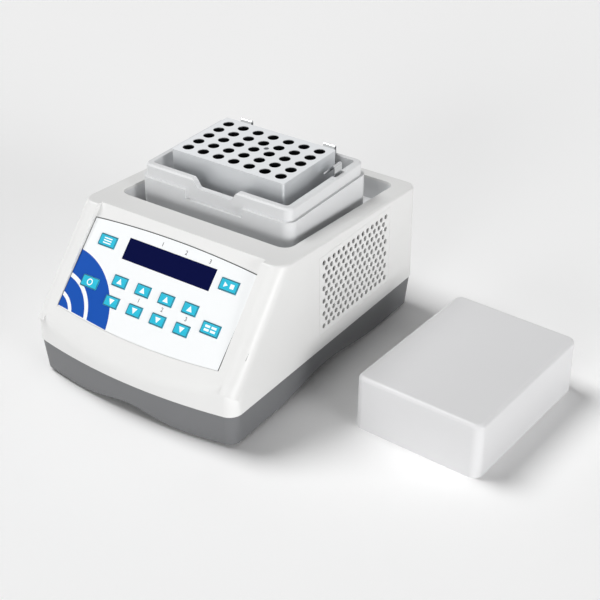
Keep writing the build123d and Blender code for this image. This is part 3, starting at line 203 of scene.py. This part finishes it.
# inside, the case is painted dark as painted shade, and this shade is what shows through the vents
coat(case_white, "#1b1c1e", (case_x - 0.1118, -0.060, 0.040), (case_x + 0.1118, 0.140, 0.130))
base_grey = moulded_plastic("spark eroded grey ABS", "#6f7072", "#6a6b6d", 0.5)
carrier_white = moulded_plastic("fine grained pale ABS", "#dcddde", "#d7d8d9", 0.4)
lid_white = moulded_plastic("fine grained white ABS", "#dcdcdd", "#d8d8d9", 0.45)
black_plastic = moulded_plastic("black glass filled nylon", "#1c1d1f", "#232427", 0.5)

dress(case_white, "upper_housing", "side_grille_left", "side_grille_right")
dress(base_grey, "lower_base")
dress(carrier_white, "well_tray", "carrier_body", "carrier_rim")
dress(lid_white, "lid_shell")
dress(black_plastic, "power_inlet", "switch_body", "power_rocker", "fan_frame", "fan_rotor")
print("the case is", case_white.name, "over", base_grey.name)


# %% [markdown]
# ## Machined and rolled metal
# The block is milled aluminium, anodised clear: a soft metal gloss with the cutter's faint arcs
# in it. Plates under it are left as milled. Screws are zinc plated, the clips are spring steel
# polished by rolling. Each metal gets its marks as a stretched noise along the way it was worked.

# %% Metals
def worked_metal(name, base, roughness, mark=0.35, stretch=(1.0, 1.0, 30.0), depth=0.004, spread=0.08):
    """Metal with fine parallel marks; mark is their spacing in millimetres, stretch their run."""
    material, tree, shader = begin_material(name, base, roughness, metallic=1.0)
    place = add_node(tree, "ShaderNodeTexCoord")
    along = add_node(tree, "ShaderNodeMapping", {"Vector": place.outputs["Object"]})
    along.inputs["Scale"].default_value = [1 / s for s in stretch]
    marks = add_node(
        tree, "ShaderNodeTexNoise",
        {"Vector": along.outputs["Vector"], "Scale": 1 / (mark * millimetre), "Detail": 2.0},
    )
    gloss = add_node(
        tree, "ShaderNodeMapRange",
        {"Value": marks.outputs["Fac"], "To Min": roughness - spread, "To Max": roughness + spread},
    )
    tree.links.new(gloss.outputs["Result"], shader.inputs["Roughness"])
    bump = add_node(
        tree, "ShaderNodeBump",
        {"Height": marks.outputs["Fac"], "Distance": depth * millimetre, "Strength": 0.5},
    )
    tree.links.new(bump.outputs["Normal"], shader.inputs["Normal"])
    return material


block_metal = worked_metal("clear anodised aluminium", "#d8dadc", 0.5, mark=0.5, stretch=(25.0, 1.0, 1.0))
plate_metal = worked_metal("milled aluminium plate", "#b9bbbe", 0.38, mark=0.6, stretch=(30.0, 1.0, 1.0))
zinc_steel = worked_metal("zinc plated steel", "#a7acb2", 0.32, mark=0.8, stretch=(1.0, 1.0, 1.0))
spring_steel = worked_metal("rolled spring steel", "#cfd1d2", 0.2, mark=0.25, stretch=(1.0, 1.0, 40.0))
ground_steel = worked_metal("ground bearing steel", "#9b9fa4", 0.25, mark=0.3, stretch=(1.0, 1.0, 1.0))
contact_brass = worked_metal("nickel plated brass", "#c8c2ae", 0.25, mark=0.3, stretch=(1.0, 20.0, 1.0))

# the pockets are bored, not milled, and their walls are painted dark as painted shade, since light hardly
# comes back out of them
block_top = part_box("heating_block")[1][2]
coat(block_metal, "#26272a", (case_x - 0.0625, 0.0012, 0.140), (case_x + 0.0625, 0.0842, block_top - 0.0006))
dress(block_metal, "heating_block")
dress(plate_metal, "heater_plate", "shaker_plate", "drive_deck")
dress(
    zinc_steel, "block_screws", "board_screws", "carrier_screws", "clip_screws", "deck_screws",
    "housing_screws", "deck_pillars", "plate_posts", "drive_crank", "counterweight", "temperature_sensor",
)
dress(spring_steel, "clip_right", "clip_back_left", "clip_back_right")
dress(
    ground_steel,
    "deck_bearings", "platform_bearings", "motor_shaft", "idler_front", "idler_left", "idler_right",
)
dress(contact_brass, "inlet_blades")
print("materials after the metals:", len(bpy.data.materials))


# %% [markdown]
# ## Rubber, boards and the motor
# These stay inside or under the case. The feet are black rubber with a dull bloom, the boards are
# green resin on woven glass, the heater is red silicone, and the motor is enamelled black.

# %% Rubber, boards and the motor
def dull_solid(name, base, patch, roughness, size):
    """A dull surface with patches of a second colour; size of the patches in millimetres."""
    material, tree, shader = begin_material(name, base, roughness)
    place = add_node(tree, "ShaderNodeTexCoord")
    blotch = add_node(
        tree, "ShaderNodeTexNoise",
        {"Vector": place.outputs["Object"], "Scale": 1 / (size * millimetre), "Detail": 4.0},
    )
    tint = add_node(tree, "ShaderNodeMix", {"Factor": blotch.outputs["Fac"]}, data_type="RGBA")
    tint.inputs["A"].default_value = linear(base)
    tint.inputs["B"].default_value = linear(patch)
    tree.links.new(tint.outputs["Result"], shader.inputs["Base Color"])
    bump = add_node(
        tree, "ShaderNodeBump",
        {"Height": blotch.outputs["Fac"], "Distance": 0.02 * millimetre, "Strength": 0.5},
    )
    tree.links.new(bump.outputs["Normal"], shader.inputs["Normal"])
    return material


foot_rubber = dull_solid("black foot rubber", "#222326", "#303135", 0.75, 1.5)
heater_silicone = dull_solid("red silicone heater", "#8f3022", "#9c3a2a", 0.55, 2.0)
motor_enamel = dull_solid("black motor enamel", "#1f2124", "#2a2c30", 0.4, 3.0)


def circuit_board(name, track_pitch=2.54):
    """Green solder resist over copper tracks laid on a grid of track_pitch millimetres."""
    material, tree, shader = begin_material(name, "#17502f", 0.35)
    place = add_node(tree, "ShaderNodeTexCoord")
    tracks = add_node(
        tree, "ShaderNodeTexBrick",
        {"Vector": place.outputs["Object"], "Scale": 1 / (4 * track_pitch * millimetre), "Mortar Size": 0.03},
    )
    tracks.inputs["Color1"].default_value = linear("#17502f")
    tracks.inputs["Color2"].default_value = linear("#1b5a36")
    tracks.inputs["Mortar"].default_value = linear("#2f7a4c")
    tree.links.new(tracks.outputs["Color"], shader.inputs["Base Color"])
    return material


green_board = circuit_board("green solder resist")
dress(foot_rubber, "rubber_feet")
dress(heater_silicone, "heater_pad")
dress(motor_enamel, "motor_body")
dress(green_board, "display_module", "keypad_board", "main_board", "supply_board")
print("materials after the inner parts:", len(bpy.data.materials))


# %% [markdown]
# ## The key panel's film and window
# The panel is a polyester film, printed on its back and bonded into a shallow recess. Its face is
# pale and smooth with a slight orange peel. The window in it is dark blue and hides the display.

# %% Film and window
def printed_film(name, base, roughness=0.3, shine=0.5, peel=1.2):
    """Polyester film; shine is its mirror share, peel its faint waviness in millimetres."""
    material, tree, shader = begin_material(name, base, roughness)
    shader.inputs["Specular IOR Level"].default_value = shine
    place = add_node(tree, "ShaderNodeTexCoord")
    waves = add_node(
        tree, "ShaderNodeTexNoise",
        {"Vector": place.outputs["Object"], "Scale": 1 / (peel * millimetre), "Detail": 0.0},
    )
    bump = add_node(
        tree, "ShaderNodeBump",
        {"Height": waves.outputs["Fac"], "Distance": 0.006 * millimetre, "Strength": 0.5},
    )
    tree.links.new(bump.outputs["Normal"], shader.inputs["Normal"])
    shader.inputs["IOR"].default_value = 1.57
    return material


film_white = printed_film("white printed polyester film", "#eff1f2")
film_navy = printed_film("dark blue display window", "#02083a", roughness=0.5, shine=0.03)
film_cyan = printed_film("cyan key film", "#2cb8d4", roughness=0.45, shine=0.15)
ink_teal = printed_film("dark teal ink", "#1d5563")
ink_white = printed_film("white ink", "#f4fbfd")
hole_shade_grey = printed_film("dark grey hole shade", "#43484e")
ink_black = printed_film("black ink", "#16171a")
ink_blue = printed_film("bright blue ink", "#044ba8", roughness=0.5, shine=0.15)


def edge_line(material, colour, side=0.55, top=0.7):
    """Paints a dark line, painted shade of the gap round the film, along the panel's straight sides and its
    bowed top; widths in millimetres.
    """
    tree = material.node_tree
    shader = tree.nodes["Principled BSDF"]
    place = add_node(tree, "ShaderNodeTexCoord")
    parts = add_node(tree, "ShaderNodeSeparateXYZ", {"Vector": place.outputs["Object"]})
    across = add_node(
        tree, "ShaderNodeMapRange",
        {"Value": parts.outputs["X"], "From Min": case_x, "From Max": case_x + millimetre}, clamp=False,
    )
    offset = add_node(
        tree, "ShaderNodeVectorMath", {0: place.outputs["Object"], 1: panel_middle}, operation="SUBTRACT",
    )
    up_slope = Vector((0, cos(panel_slope), sin(panel_slope))) / millimetre
    up = add_node(
        tree, "ShaderNodeVectorMath", {0: offset.outputs["Vector"], 1: up_slope}, operation="DOT_PRODUCT",
    )
    # the top edge falls away from its middle with the square of the distance across
    square = add_node(tree, "ShaderNodeMath", {0: across.outputs["Result"], 1: 2.0}, operation="POWER")
    edge = add_node(
        tree, "ShaderNodeMath",
        {0: square.outputs["Value"], 1: -panel_top_bow / panel_half ** 2}, operation="MULTIPLY",
    )
    spare = add_node(
        tree, "ShaderNodeMath", {0: edge.outputs["Value"], 1: up.outputs["Value"]}, operation="SUBTRACT",
    )
    high = add_node(
        tree, "ShaderNodeMath", {0: spare.outputs["Value"], 1: top - panel_top_bow}, operation="LESS_THAN",
    )
    away = add_node(tree, "ShaderNodeMath", {0: across.outputs["Result"]}, operation="ABSOLUTE")
    wide = add_node(
        tree, "ShaderNodeMath", {0: away.outputs["Value"], 1: panel_half - side}, operation="GREATER_THAN",
    )
    either = add_node(
        tree, "ShaderNodeMath", {0: high.outputs["Value"], 1: wide.outputs["Value"]}, operation="MAXIMUM",
    )
    paint = add_node(tree, "ShaderNodeMix", {"Factor": either.outputs["Value"]}, data_type="RGBA")
    paint.inputs["A"].default_value = shader.inputs["Base Color"].default_value
    paint.inputs["B"].default_value = linear(colour)
    tree.links.new(paint.outputs["Result"], shader.inputs["Base Color"])


# the film's sides and top get a dark line of painted shade for the gap round it
edge_line(film_white, "#2b2e31")
dress(film_white, "panel_overlay")
dress(film_navy, "display_window")
dress(film_cyan, *[name for name in nodes if name.startswith("key_")])
print("materials after the films:", len(bpy.data.materials))


# %% [markdown]
# ## Flat pieces
# Most of what is still missing is flat: key caps, ink and the vent plates. Each starts as a plane
# or a polygon about the origin, is shaped there, and is then laid where it belongs. A rounded
# rectangle comes from one plane whose corners are bevelled. A border is such a shape with its
# middle inset and taken away. Ink is given a few hundredths of a millimetre, so it has an edge.

# %% Flat pieces
def begin_plane(name, width, height):
    """A flat rectangle about the origin; sizes in millimetres."""
    bpy.ops.object.select_all(action="DESELECT")
    bpy.ops.mesh.primitive_plane_add(size=1.0, location=(0, 0, 0))
    piece = bpy.context.active_object
    piece.name = name
    piece.scale = (width * millimetre, height * millimetre, 1)
    bpy.ops.object.transform_apply(location=False, rotation=False, scale=True)
    return piece


def keep_border(piece, band):
    """Takes a flat piece's middle away and leaves a border, band millimetres wide."""
    pick(piece)
    bpy.ops.object.mode_set(mode="EDIT")
    bpy.ops.mesh.select_all(action="SELECT")
    bpy.ops.mesh.inset(thickness=band * millimetre)
    bpy.ops.mesh.delete(type="FACE")
    bpy.ops.object.mode_set(mode="OBJECT")


def rounded_plate(name, width, height, corner, steps=5):
    """A rounded rectangle about the origin; sizes in millimetres."""
    piece = begin_plane(name, width, height)
    bpy.ops.object.mode_set(mode="EDIT")
    bpy.ops.mesh.select_all(action="SELECT")
    bpy.ops.mesh.bevel(offset=corner * millimetre, segments=steps, affect="VERTICES")
    bpy.ops.object.mode_set(mode="OBJECT")
    return piece


def flat_polygon(name, sides, radius, turn=0.0):
    """A regular polygon about the origin with a corner at the top, turned by turn degrees."""
    bpy.ops.object.select_all(action="DESELECT")
    bpy.ops.mesh.primitive_circle_add(
        vertices=sides, radius=radius * millimetre, fill_type="NGON",
        location=(0, 0, 0), rotation=(0, 0, radians(turn)),
    )
    piece = bpy.context.active_object
    piece.name = name
    bpy.ops.object.transform_apply(location=False, rotation=True, scale=False)
    return piece


def thicken(piece, thickness, offset=1.0):
    """Gives a flat piece a thickness in millimetres, above its face, or below it with offset -1."""
    pick(piece)
    bpy.ops.object.modifier_add(type="SOLIDIFY")
    solid = piece.modifiers[-1]
    solid.thickness = thickness * millimetre
    solid.offset = offset
    bpy.ops.object.modifier_apply(modifier=solid.name)


def soften(piece, width, steps=2, angle=40):
    """Bevels the sharp edges by width millimetres and shades the piece smooth."""
    pick(piece)
    bpy.ops.object.modifier_add(type="BEVEL")
    bevel = piece.modifiers[-1]
    bevel.width = width * millimetre
    bevel.segments = steps
    bevel.limit_method = "ANGLE"
    bevel.angle_limit = radians(angle)
    bpy.ops.object.modifier_apply(modifier=bevel.name)
    bpy.ops.object.shade_smooth_by_angle(angle=radians(angle))


def lay(piece, where, across=0.0, up=0.0, lift=0.0):
    """Moves a piece from the origin to its place on the plane that where describes, and bakes it in."""
    piece.matrix_world = where @ Matrix.Translation(Vector((across, up, lift)) * millimetre)
    pick(piece)
    bpy.ops.object.transform_apply(location=True, rotation=True, scale=True)


def fit(piece, material, body):
    """Gives a piece its material and makes it ride on a body."""
    piece.data.materials.clear()
    piece.data.materials.append(material)
    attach(piece, body)


# %% [markdown]
# ## Key caps
# Each key is a stiff film cap that stands 0.6 mm out of the panel. Four wide ones stand at the
# sides and two rows of smaller ones in the middle. A cap is a rounded plate with depth and a soft
# edge. One of each size is modelled, and the rest are copies with a mesh of their own.

# %% Key caps
panel_face = Matrix((
    (1, 0, 0, panel_middle.x),
    (0, cos(panel_slope), -sin(panel_slope), panel_middle.y),
    (0, sin(panel_slope), cos(panel_slope), panel_middle.z),
    (0, 0, 0, 1),
))
key_proud = 0.6
cap_depth = 4.5
key_ink = 0.03
side_cap = (19.2, 10.9)
arrow_cap = (15.7, 10.1)
side_keys = {
    "key_left_upper": (-68.9, -17.4), "key_left_lower": (-68.9, -58.1),
    "key_right_upper": (68.9, -17.4), "key_right_lower": (68.9, -58.1),
}
arrow_pitch = 26.7
arrow_columns = [1.65 + arrow_pitch * step for step in (-1.5, -0.5, 0.5, 1.5)]
up_keys = {f"key_up_{n}": (across, -48.2) for n, across in enumerate(arrow_columns, start=1)}
down_keys = {f"key_down_{n}": (across, -67.7) for n, across in enumerate(arrow_columns, start=1)}


def model_cap(name, size):
    """One key cap about the origin, with its top face at zero height."""
    cap = rounded_plate(name, size[0], size[1], 1.3)
    thicken(cap, cap_depth, offset=-1.0)
    soften(cap, 0.16)
    return cap


def copy_of(pattern, name):
    """A copy of a piece with a mesh of its own."""
    twin = pattern.copy()
    twin.data = pattern.data.copy()
    twin.name = name
    bpy.context.collection.objects.link(twin)
    return twin


def model_keys():
    """Every key's cap and the printed border on it."""
    for size, keys in ((side_cap, side_keys), (arrow_cap, {**up_keys, **down_keys})):
        cap_pattern = model_cap("cap_pattern", size)
        border_pattern = rounded_plate("border_pattern", size[0] - 0.3, size[1] - 0.3, 1.2)
        keep_border(border_pattern, 0.7)
        thicken(border_pattern, key_ink)
        for key, (across, up) in keys.items():
            cap = copy_of(cap_pattern, key + "_cap")
            lay(cap, panel_face, across, up, key_proud)
            fit(cap, film_cyan, key + "_body")
            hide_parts(key)
            border = copy_of(border_pattern, key + "_border")
            lay(border, panel_face, across, up, key_proud)
            fit(border, ink_teal, key + "_body")
        pick(cap_pattern, border_pattern)
        bpy.ops.object.delete()


model_keys()
print("keys with a cap and a border:", len(up_keys) + len(down_keys) + len(side_keys))


# %% [markdown]
# ## Signs on the keys
# The middle keys carry white arrowheads, up in the upper row and down in the lower one. The side
# keys carry plain signs: bars for a menu, a ring for mixing, an arrowhead with a square for start
# and stop, and four squares for several steps at once.

# %% Signs on the keys
def print_sign(piece, key, across, up):
    """Prints a flat piece in white on a key's face."""
    thicken(piece, key_ink)
    lay(piece, panel_face, across, up, key_proud)
    fit(piece, ink_white, key + "_body")


# a triangle's middle lies below its box's, so each arrowhead is shifted a little to look centred
arrow_size, arrow_shift = 3.5, 0.7
for key, (across, up) in up_keys.items():
    print_sign(flat_polygon(key + "_arrow", 3, arrow_size), key, across, up - arrow_shift)
for key, (across, up) in down_keys.items():
    print_sign(flat_polygon(key + "_arrow", 3, arrow_size, turn=180), key, across, up + arrow_shift)

across, up = side_keys["key_left_upper"]
for row in (-1, 0, 1):
    bar = begin_plane(f"menu_bar_{row + 2}", 9.0, 1.1)
    print_sign(bar, "key_left_upper", across, up + 2.3 * row)

across, up = side_keys["key_left_lower"]
ring = flat_polygon("mixing_ring", 24, 3.2)
keep_border(ring, 1.0)
print_sign(ring, "key_left_lower", across, up)

across, up = side_keys["key_right_upper"]
print_sign(flat_polygon("start_arrow", 3, 2.7, turn=-90), "key_right_upper", across - 3.6, up)
print_sign(begin_plane("stop_square", 4.2, 4.2), "key_right_upper", across + 3.6, up)

across, up = side_keys["key_right_lower"]
for number, (x, y) in enumerate(((-3.4, 1.7), (3.4, 1.7), (-3.4, -1.7), (3.4, -1.7)), start=1):
    print_sign(begin_plane(f"step_square_{number}", 5.2, 2.1), "key_right_lower", across + x, up + y)
print("arrowheads on the middle keys:", len(up_keys) + len(down_keys))


# %% [markdown]
# ## Ink on the panel
# Plain numbers stand over the display and between the arrow keys, so that each reading can be
# matched to its keys. Blue bands sweep out of the lower left corner. A band is a ring cut off at
# the panel's edges with two bisecting planes.

# %% Ink on the panel
panel_ink = 0.02
digit_size = 5.6


def print_number(text, across, up):
    """A dark printed digit on the panel."""
    bpy.ops.object.select_all(action="DESELECT")
    bpy.ops.object.text_add(location=(0, 0, 0))
    digit = bpy.context.active_object
    digit.data.body = text
    digit.data.size = digit_size * millimetre
    digit.data.align_x = "CENTER"
    digit.data.align_y = "CENTER"
    digit.data.resolution_u = 4
    bpy.ops.object.convert(target="MESH")
    digit = bpy.context.active_object
    digit.name = f"printed_{text}_at_{int(100 + across)}_{int(-up)}"
    thicken(digit, panel_ink)
    lay(digit, panel_face, across, up)
    fit(digit, ink_black, "case")


for number, across in enumerate(arrow_columns[1:], start=1):
    print_number(str(number), across, -3.2)
    print_number(str(number), across, -57.9)


def cut_away(piece, point, outward):
    """Cuts off what lies on the outward side of a line through point, both in panel millimetres."""
    pick(piece)
    bpy.ops.object.mode_set(mode="EDIT")
    bpy.ops.mesh.select_all(action="SELECT")
    bpy.ops.mesh.bisect(
        plane_co=Vector((*point, 0)) * millimetre, plane_no=Vector((*outward, 0)), clear_outer=True,
    )
    bpy.ops.object.mode_set(mode="OBJECT")


band_centre = (-100.0, -100.0)
band_margin = 0.5
lower_edge_lean = 0.088


def blue_band(name, outer, inner=0.0):
    """A band between two radii about a point below the panel's lower left corner, in millimetres."""
    band = flat_polygon(name, 96, outer)
    if inner:
        keep_border(band, outer - inner)
    lay(band, Matrix.Identity(4), *band_centre)
    cut_away(band, (-panel_half + band_margin, 0), (-1, 0))
    cut_away(band, (-panel_half, -panel_drop + band_margin), (-lower_edge_lean, -1))
    thicken(band, panel_ink)
    lay(band, panel_face)
    fit(band, ink_blue, "case")


blue_band("blue_band_outer", 68, 45)
blue_band("blue_band_middle", 41, 27)
blue_band("blue_band_inner", 23.5)
print("the panel's ink stands", panel_ink, "mm proud")


# %% [markdown]
# ## Vent plates
# The side walls are pierced with round 5 mm holes in staggered rows. The plate starts as nothing
# but edges, one rectangle and a circle for each hole. Filling them leaves the holes open, and a
# thickness turns every circle into the wall of its hole.

# %% Vent plates
vent_radius = 2.5
vent_pitch = 8.05
vent_row_pitch = 6.62
vent_margin = 4.85
wall_thickness = 2.8


def vent_plate(node, columns, rows, where):
    """A pierced plate that takes the place of a vent panel; where is its outer face's middle."""
    length = (columns - 1) * vent_pitch + 2 * (vent_radius + vent_margin)
    height = (rows - 1) * vent_row_pitch + 2 * (vent_radius + vent_margin)
    plate = begin_plane(node + "_pierced", length, height)
    bpy.ops.object.mode_set(mode="EDIT")
    bpy.ops.mesh.select_all(action="SELECT")
    bpy.ops.mesh.delete(type="ONLY_FACE")
    for row in range(rows):
        count = columns - row % 2
        for column in range(count):
            x = (column - (count - 1) / 2) * vent_pitch * millimetre
            y = (row - (rows - 1) / 2) * vent_row_pitch * millimetre
            bpy.ops.mesh.primitive_circle_add(
                vertices=14, radius=vent_radius * millimetre, location=(x, y, 0),
            )
    bpy.ops.mesh.select_all(action="SELECT")
    bpy.ops.mesh.fill()
    bpy.ops.mesh.normals_make_consistent(inside=False)
    bpy.ops.object.mode_set(mode="OBJECT")
    thicken(plate, wall_thickness, offset=-1.0)
    bpy.ops.object.shade_smooth_by_angle(angle=radians(40))
    lay(plate, where)
    fit(plate, case_white, "case")
    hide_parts(node)
    print(node, "is now a pierced plate,", round(length, 1), "by", round(height, 1), "mm")


def wall_face(side, y, z):
    """The outer face of a side wall about a point; side is 1 for the right wall and -1 for the left."""
    x = case_x + side * (wall_reach - (z - joint_height) * sin(draft))
    return Matrix((
        (0, -side * sin(draft), side * cos(draft), x),
        (side, 0, 0, y),
        (0, cos(draft), sin(draft), z),
        (0, 0, 0, 1),
    ))


vent_plate("side_grille_right", 14, 11, wall_face(1, 0.0442, 0.0918))
vent_plate("side_grille_left", 8, 9, wall_face(-1, 0.0442, 0.0785))


# %% [markdown]
# ## The block's probe hole
# A thin temperature probe can go into a small hole between the pockets near the block's middle.
# The solid block has no such hole, so a dark disc, 0.03 mm thick, stands for its mouth; its dark grey is
# painted shade of the hole.

# %% Probe hole
block_middle_y = 0.0427
pocket_pitch_x, pocket_pitch_y = 0.0176, 0.0155
probe_hole = flat_polygon("probe_hole_mouth", 24, 2.5)
thicken(probe_hole, 0.03)
between_pockets = (case_x + pocket_pitch_x / 2, block_middle_y + pocket_pitch_y / 2, block_top)
lay(probe_hole, Matrix.Translation(between_pockets))
# the disc's dark grey is painted shade of the hole's mouth
fit(probe_hole, hole_shade_grey, "platform")
print("the probe hole's mouth is at", [round(value, 4) for value in between_pockets])


# %% [markdown]
# ## Behind the front corners
# The hollow of the solid housing breaks out through its two rounded front corners, in a slit up to
# about 1.5 mm wide. A curved strip lies just under the surface of each corner and closes it. It is
# a quarter of a tube about the rounding's own axis, which runs where the side wall and the sloped
# front, both set in by the radius, meet.

# %% Behind the front corners
post_slope = radians(49.7)
post_top = Vector((case_x, -0.073, 0.1497))
slit_middle_y = -0.128


def corner_backing(side, radius=13.0, depth=0.08, thickness=1.0, length=34.0):
    """A strip under a front corner's rounded surface; sizes in millimetres, side 1 or -1."""
    wall = Vector((side * cos(draft), 0, sin(draft)))
    front = Vector((0, -sin(post_slope), cos(post_slope)))
    inset = radius * millimetre
    wall_point = Vector((case_x + side * wall_reach, 0, joint_height))
    sums = Vector((wall.dot(wall_point) - inset, front.dot(post_top) - inset, slit_middle_y))
    middle = Matrix((wall, front, Vector((0, 1, 0)))).inverted() @ sums
    axis = wall.cross(front).normalized()
    bpy.ops.object.select_all(action="DESELECT")
    bpy.ops.mesh.primitive_cylinder_add(
        vertices=96, radius=(radius - depth) * millimetre, depth=length * millimetre,
        end_fill_type="NOTHING", location=middle, rotation=axis.to_track_quat("Z", "Y").to_euler(),
    )
    strip = bpy.context.active_object
    strip.name = "corner_backing_right" if side > 0 else "corner_backing_left"
    pick(strip)
    bpy.ops.object.transform_apply(location=True, rotation=True, scale=True)
    for outward in (wall, front):
        bpy.ops.object.mode_set(mode="EDIT")
        bpy.ops.mesh.select_all(action="SELECT")
        bpy.ops.mesh.bisect(plane_co=middle, plane_no=outward, clear_inner=True)
        bpy.ops.object.mode_set(mode="OBJECT")
    thicken(strip, thickness, offset=-1.0)
    bpy.ops.object.shade_smooth_by_angle(angle=radians(30))
    fit(strip, case_white, "case")
    print(strip.name, "has", len(strip.data.polygons), "faces")


for side in (1, -1):
    corner_backing(side)


# %% [markdown]
# ## The studio
# A pale floor carries the object and its soft shadow. The world is weak, so that the shadow stays
# dark. A wide sun high on the left draws it to the right, and two low ones, from the front and from
# the right, light the walls and hardly touch the floor. Suns keep the floor even to its far edge.
# Mirrors see a paler studio than the one that lights the scene, and the camera sees it near white.

# %% The studio
def studio_floor():
    """A plain round floor under the object."""
    bpy.ops.object.select_all(action="DESELECT")
    bpy.ops.mesh.primitive_circle_add(vertices=64, radius=6.0, fill_type="NGON", location=(0, 0, 0))
    floor = bpy.context.active_object
    floor.name = "studio_floor"
    material, tree, shader = begin_material("pale studio floor", "#fcfcfc", 0.6)
    shader.inputs["Specular IOR Level"].default_value = 0.2
    floor.data.materials.append(material)


def studio_world(strength=0.12, mirrored=0.8):
    """An even world: strength for diffuse light, mirrored for what glossy surfaces see."""
    world = bpy.data.worlds.new("studio world")
    bpy.context.scene.world = world
    world.use_nodes = True
    tree = world.node_tree
    tree.nodes.clear()
    path = add_node(tree, "ShaderNodeLightPath")
    lit = add_node(tree, "ShaderNodeBackground", {"Color": linear("#ffffff"), "Strength": strength})
    shine = add_node(tree, "ShaderNodeBackground", {"Color": linear("#ffffff"), "Strength": mirrored})
    seen = add_node(tree, "ShaderNodeBackground", {"Color": linear("#f6f6f6"), "Strength": 1.0})
    rough = add_node(
        tree, "ShaderNodeMixShader",
        {0: path.outputs["Is Glossy Ray"], 1: lit.outputs["Background"], 2: shine.outputs["Background"]},
    )
    mixed = add_node(
        tree, "ShaderNodeMixShader",
        {0: path.outputs["Is Camera Ray"], 1: rough.outputs["Shader"], 2: seen.outputs["Background"]},
    )
    add_node(tree, "ShaderNodeOutputWorld", {"Surface": mixed.outputs["Shader"]})


def soft_sun(name, direction, spread, power):
    """A sun that shines from direction, spread degrees wide."""
    bpy.ops.object.select_all(action="DESELECT")
    bpy.ops.object.light_add(type="SUN", location=Vector(direction) * 2)
    sun = bpy.context.active_object
    sun.name = name
    sun.rotation_euler = Vector(direction).to_track_quat("Z", "Y").to_euler()
    sun.data.angle = radians(spread)
    sun.data.energy = power


studio_floor()
studio_world()
soft_sun("left_key", (-1.0, -0.1, 1.5), 30, 2.25)
soft_sun("front_fill", (0.1, -1.0, 0.12), 30, 1.5)
soft_sun("right_fill", (1.0, -0.15, 0.12), 30, 2.2)
print("lights in the file:", len(bpy.data.lights))


# %% [markdown]
# ## The camera
# A long lens from high on the right shows the front, the right side and the lid with little
# perspective. The camera is placed by numbers and turned by the direction it looks in, with a
# fraction of a degree of roll. The Standard view keeps the colours as they were set.

# %% The camera
camera_place = Vector((case_x + 0.6881, -0.8817, 0.7375))
camera_look = Vector((-0.4808, 0.6994, -0.5289))
camera_roll = 0.17               # degrees
bpy.ops.object.camera_add(location=camera_place)
camera = bpy.context.active_object
camera.name = "studio_camera"
turn = camera_look.to_track_quat("-Z", "Y").to_matrix() @ Matrix.Rotation(radians(camera_roll), 3, "Z")
camera.rotation_euler = turn.to_euler()
camera.data.lens = 81.9
camera.data.sensor_width = 36.0
camera.data.clip_end = 30.0
bpy.context.scene.camera = camera
bpy.context.scene.view_settings.view_transform = "Standard"
print("camera:", [round(value, 3) for value in camera_place], "lens", camera.data.lens, "mm")


# %% [markdown]
# ## Sizes
# The looks must not make the object bigger.

print("the looks are done")
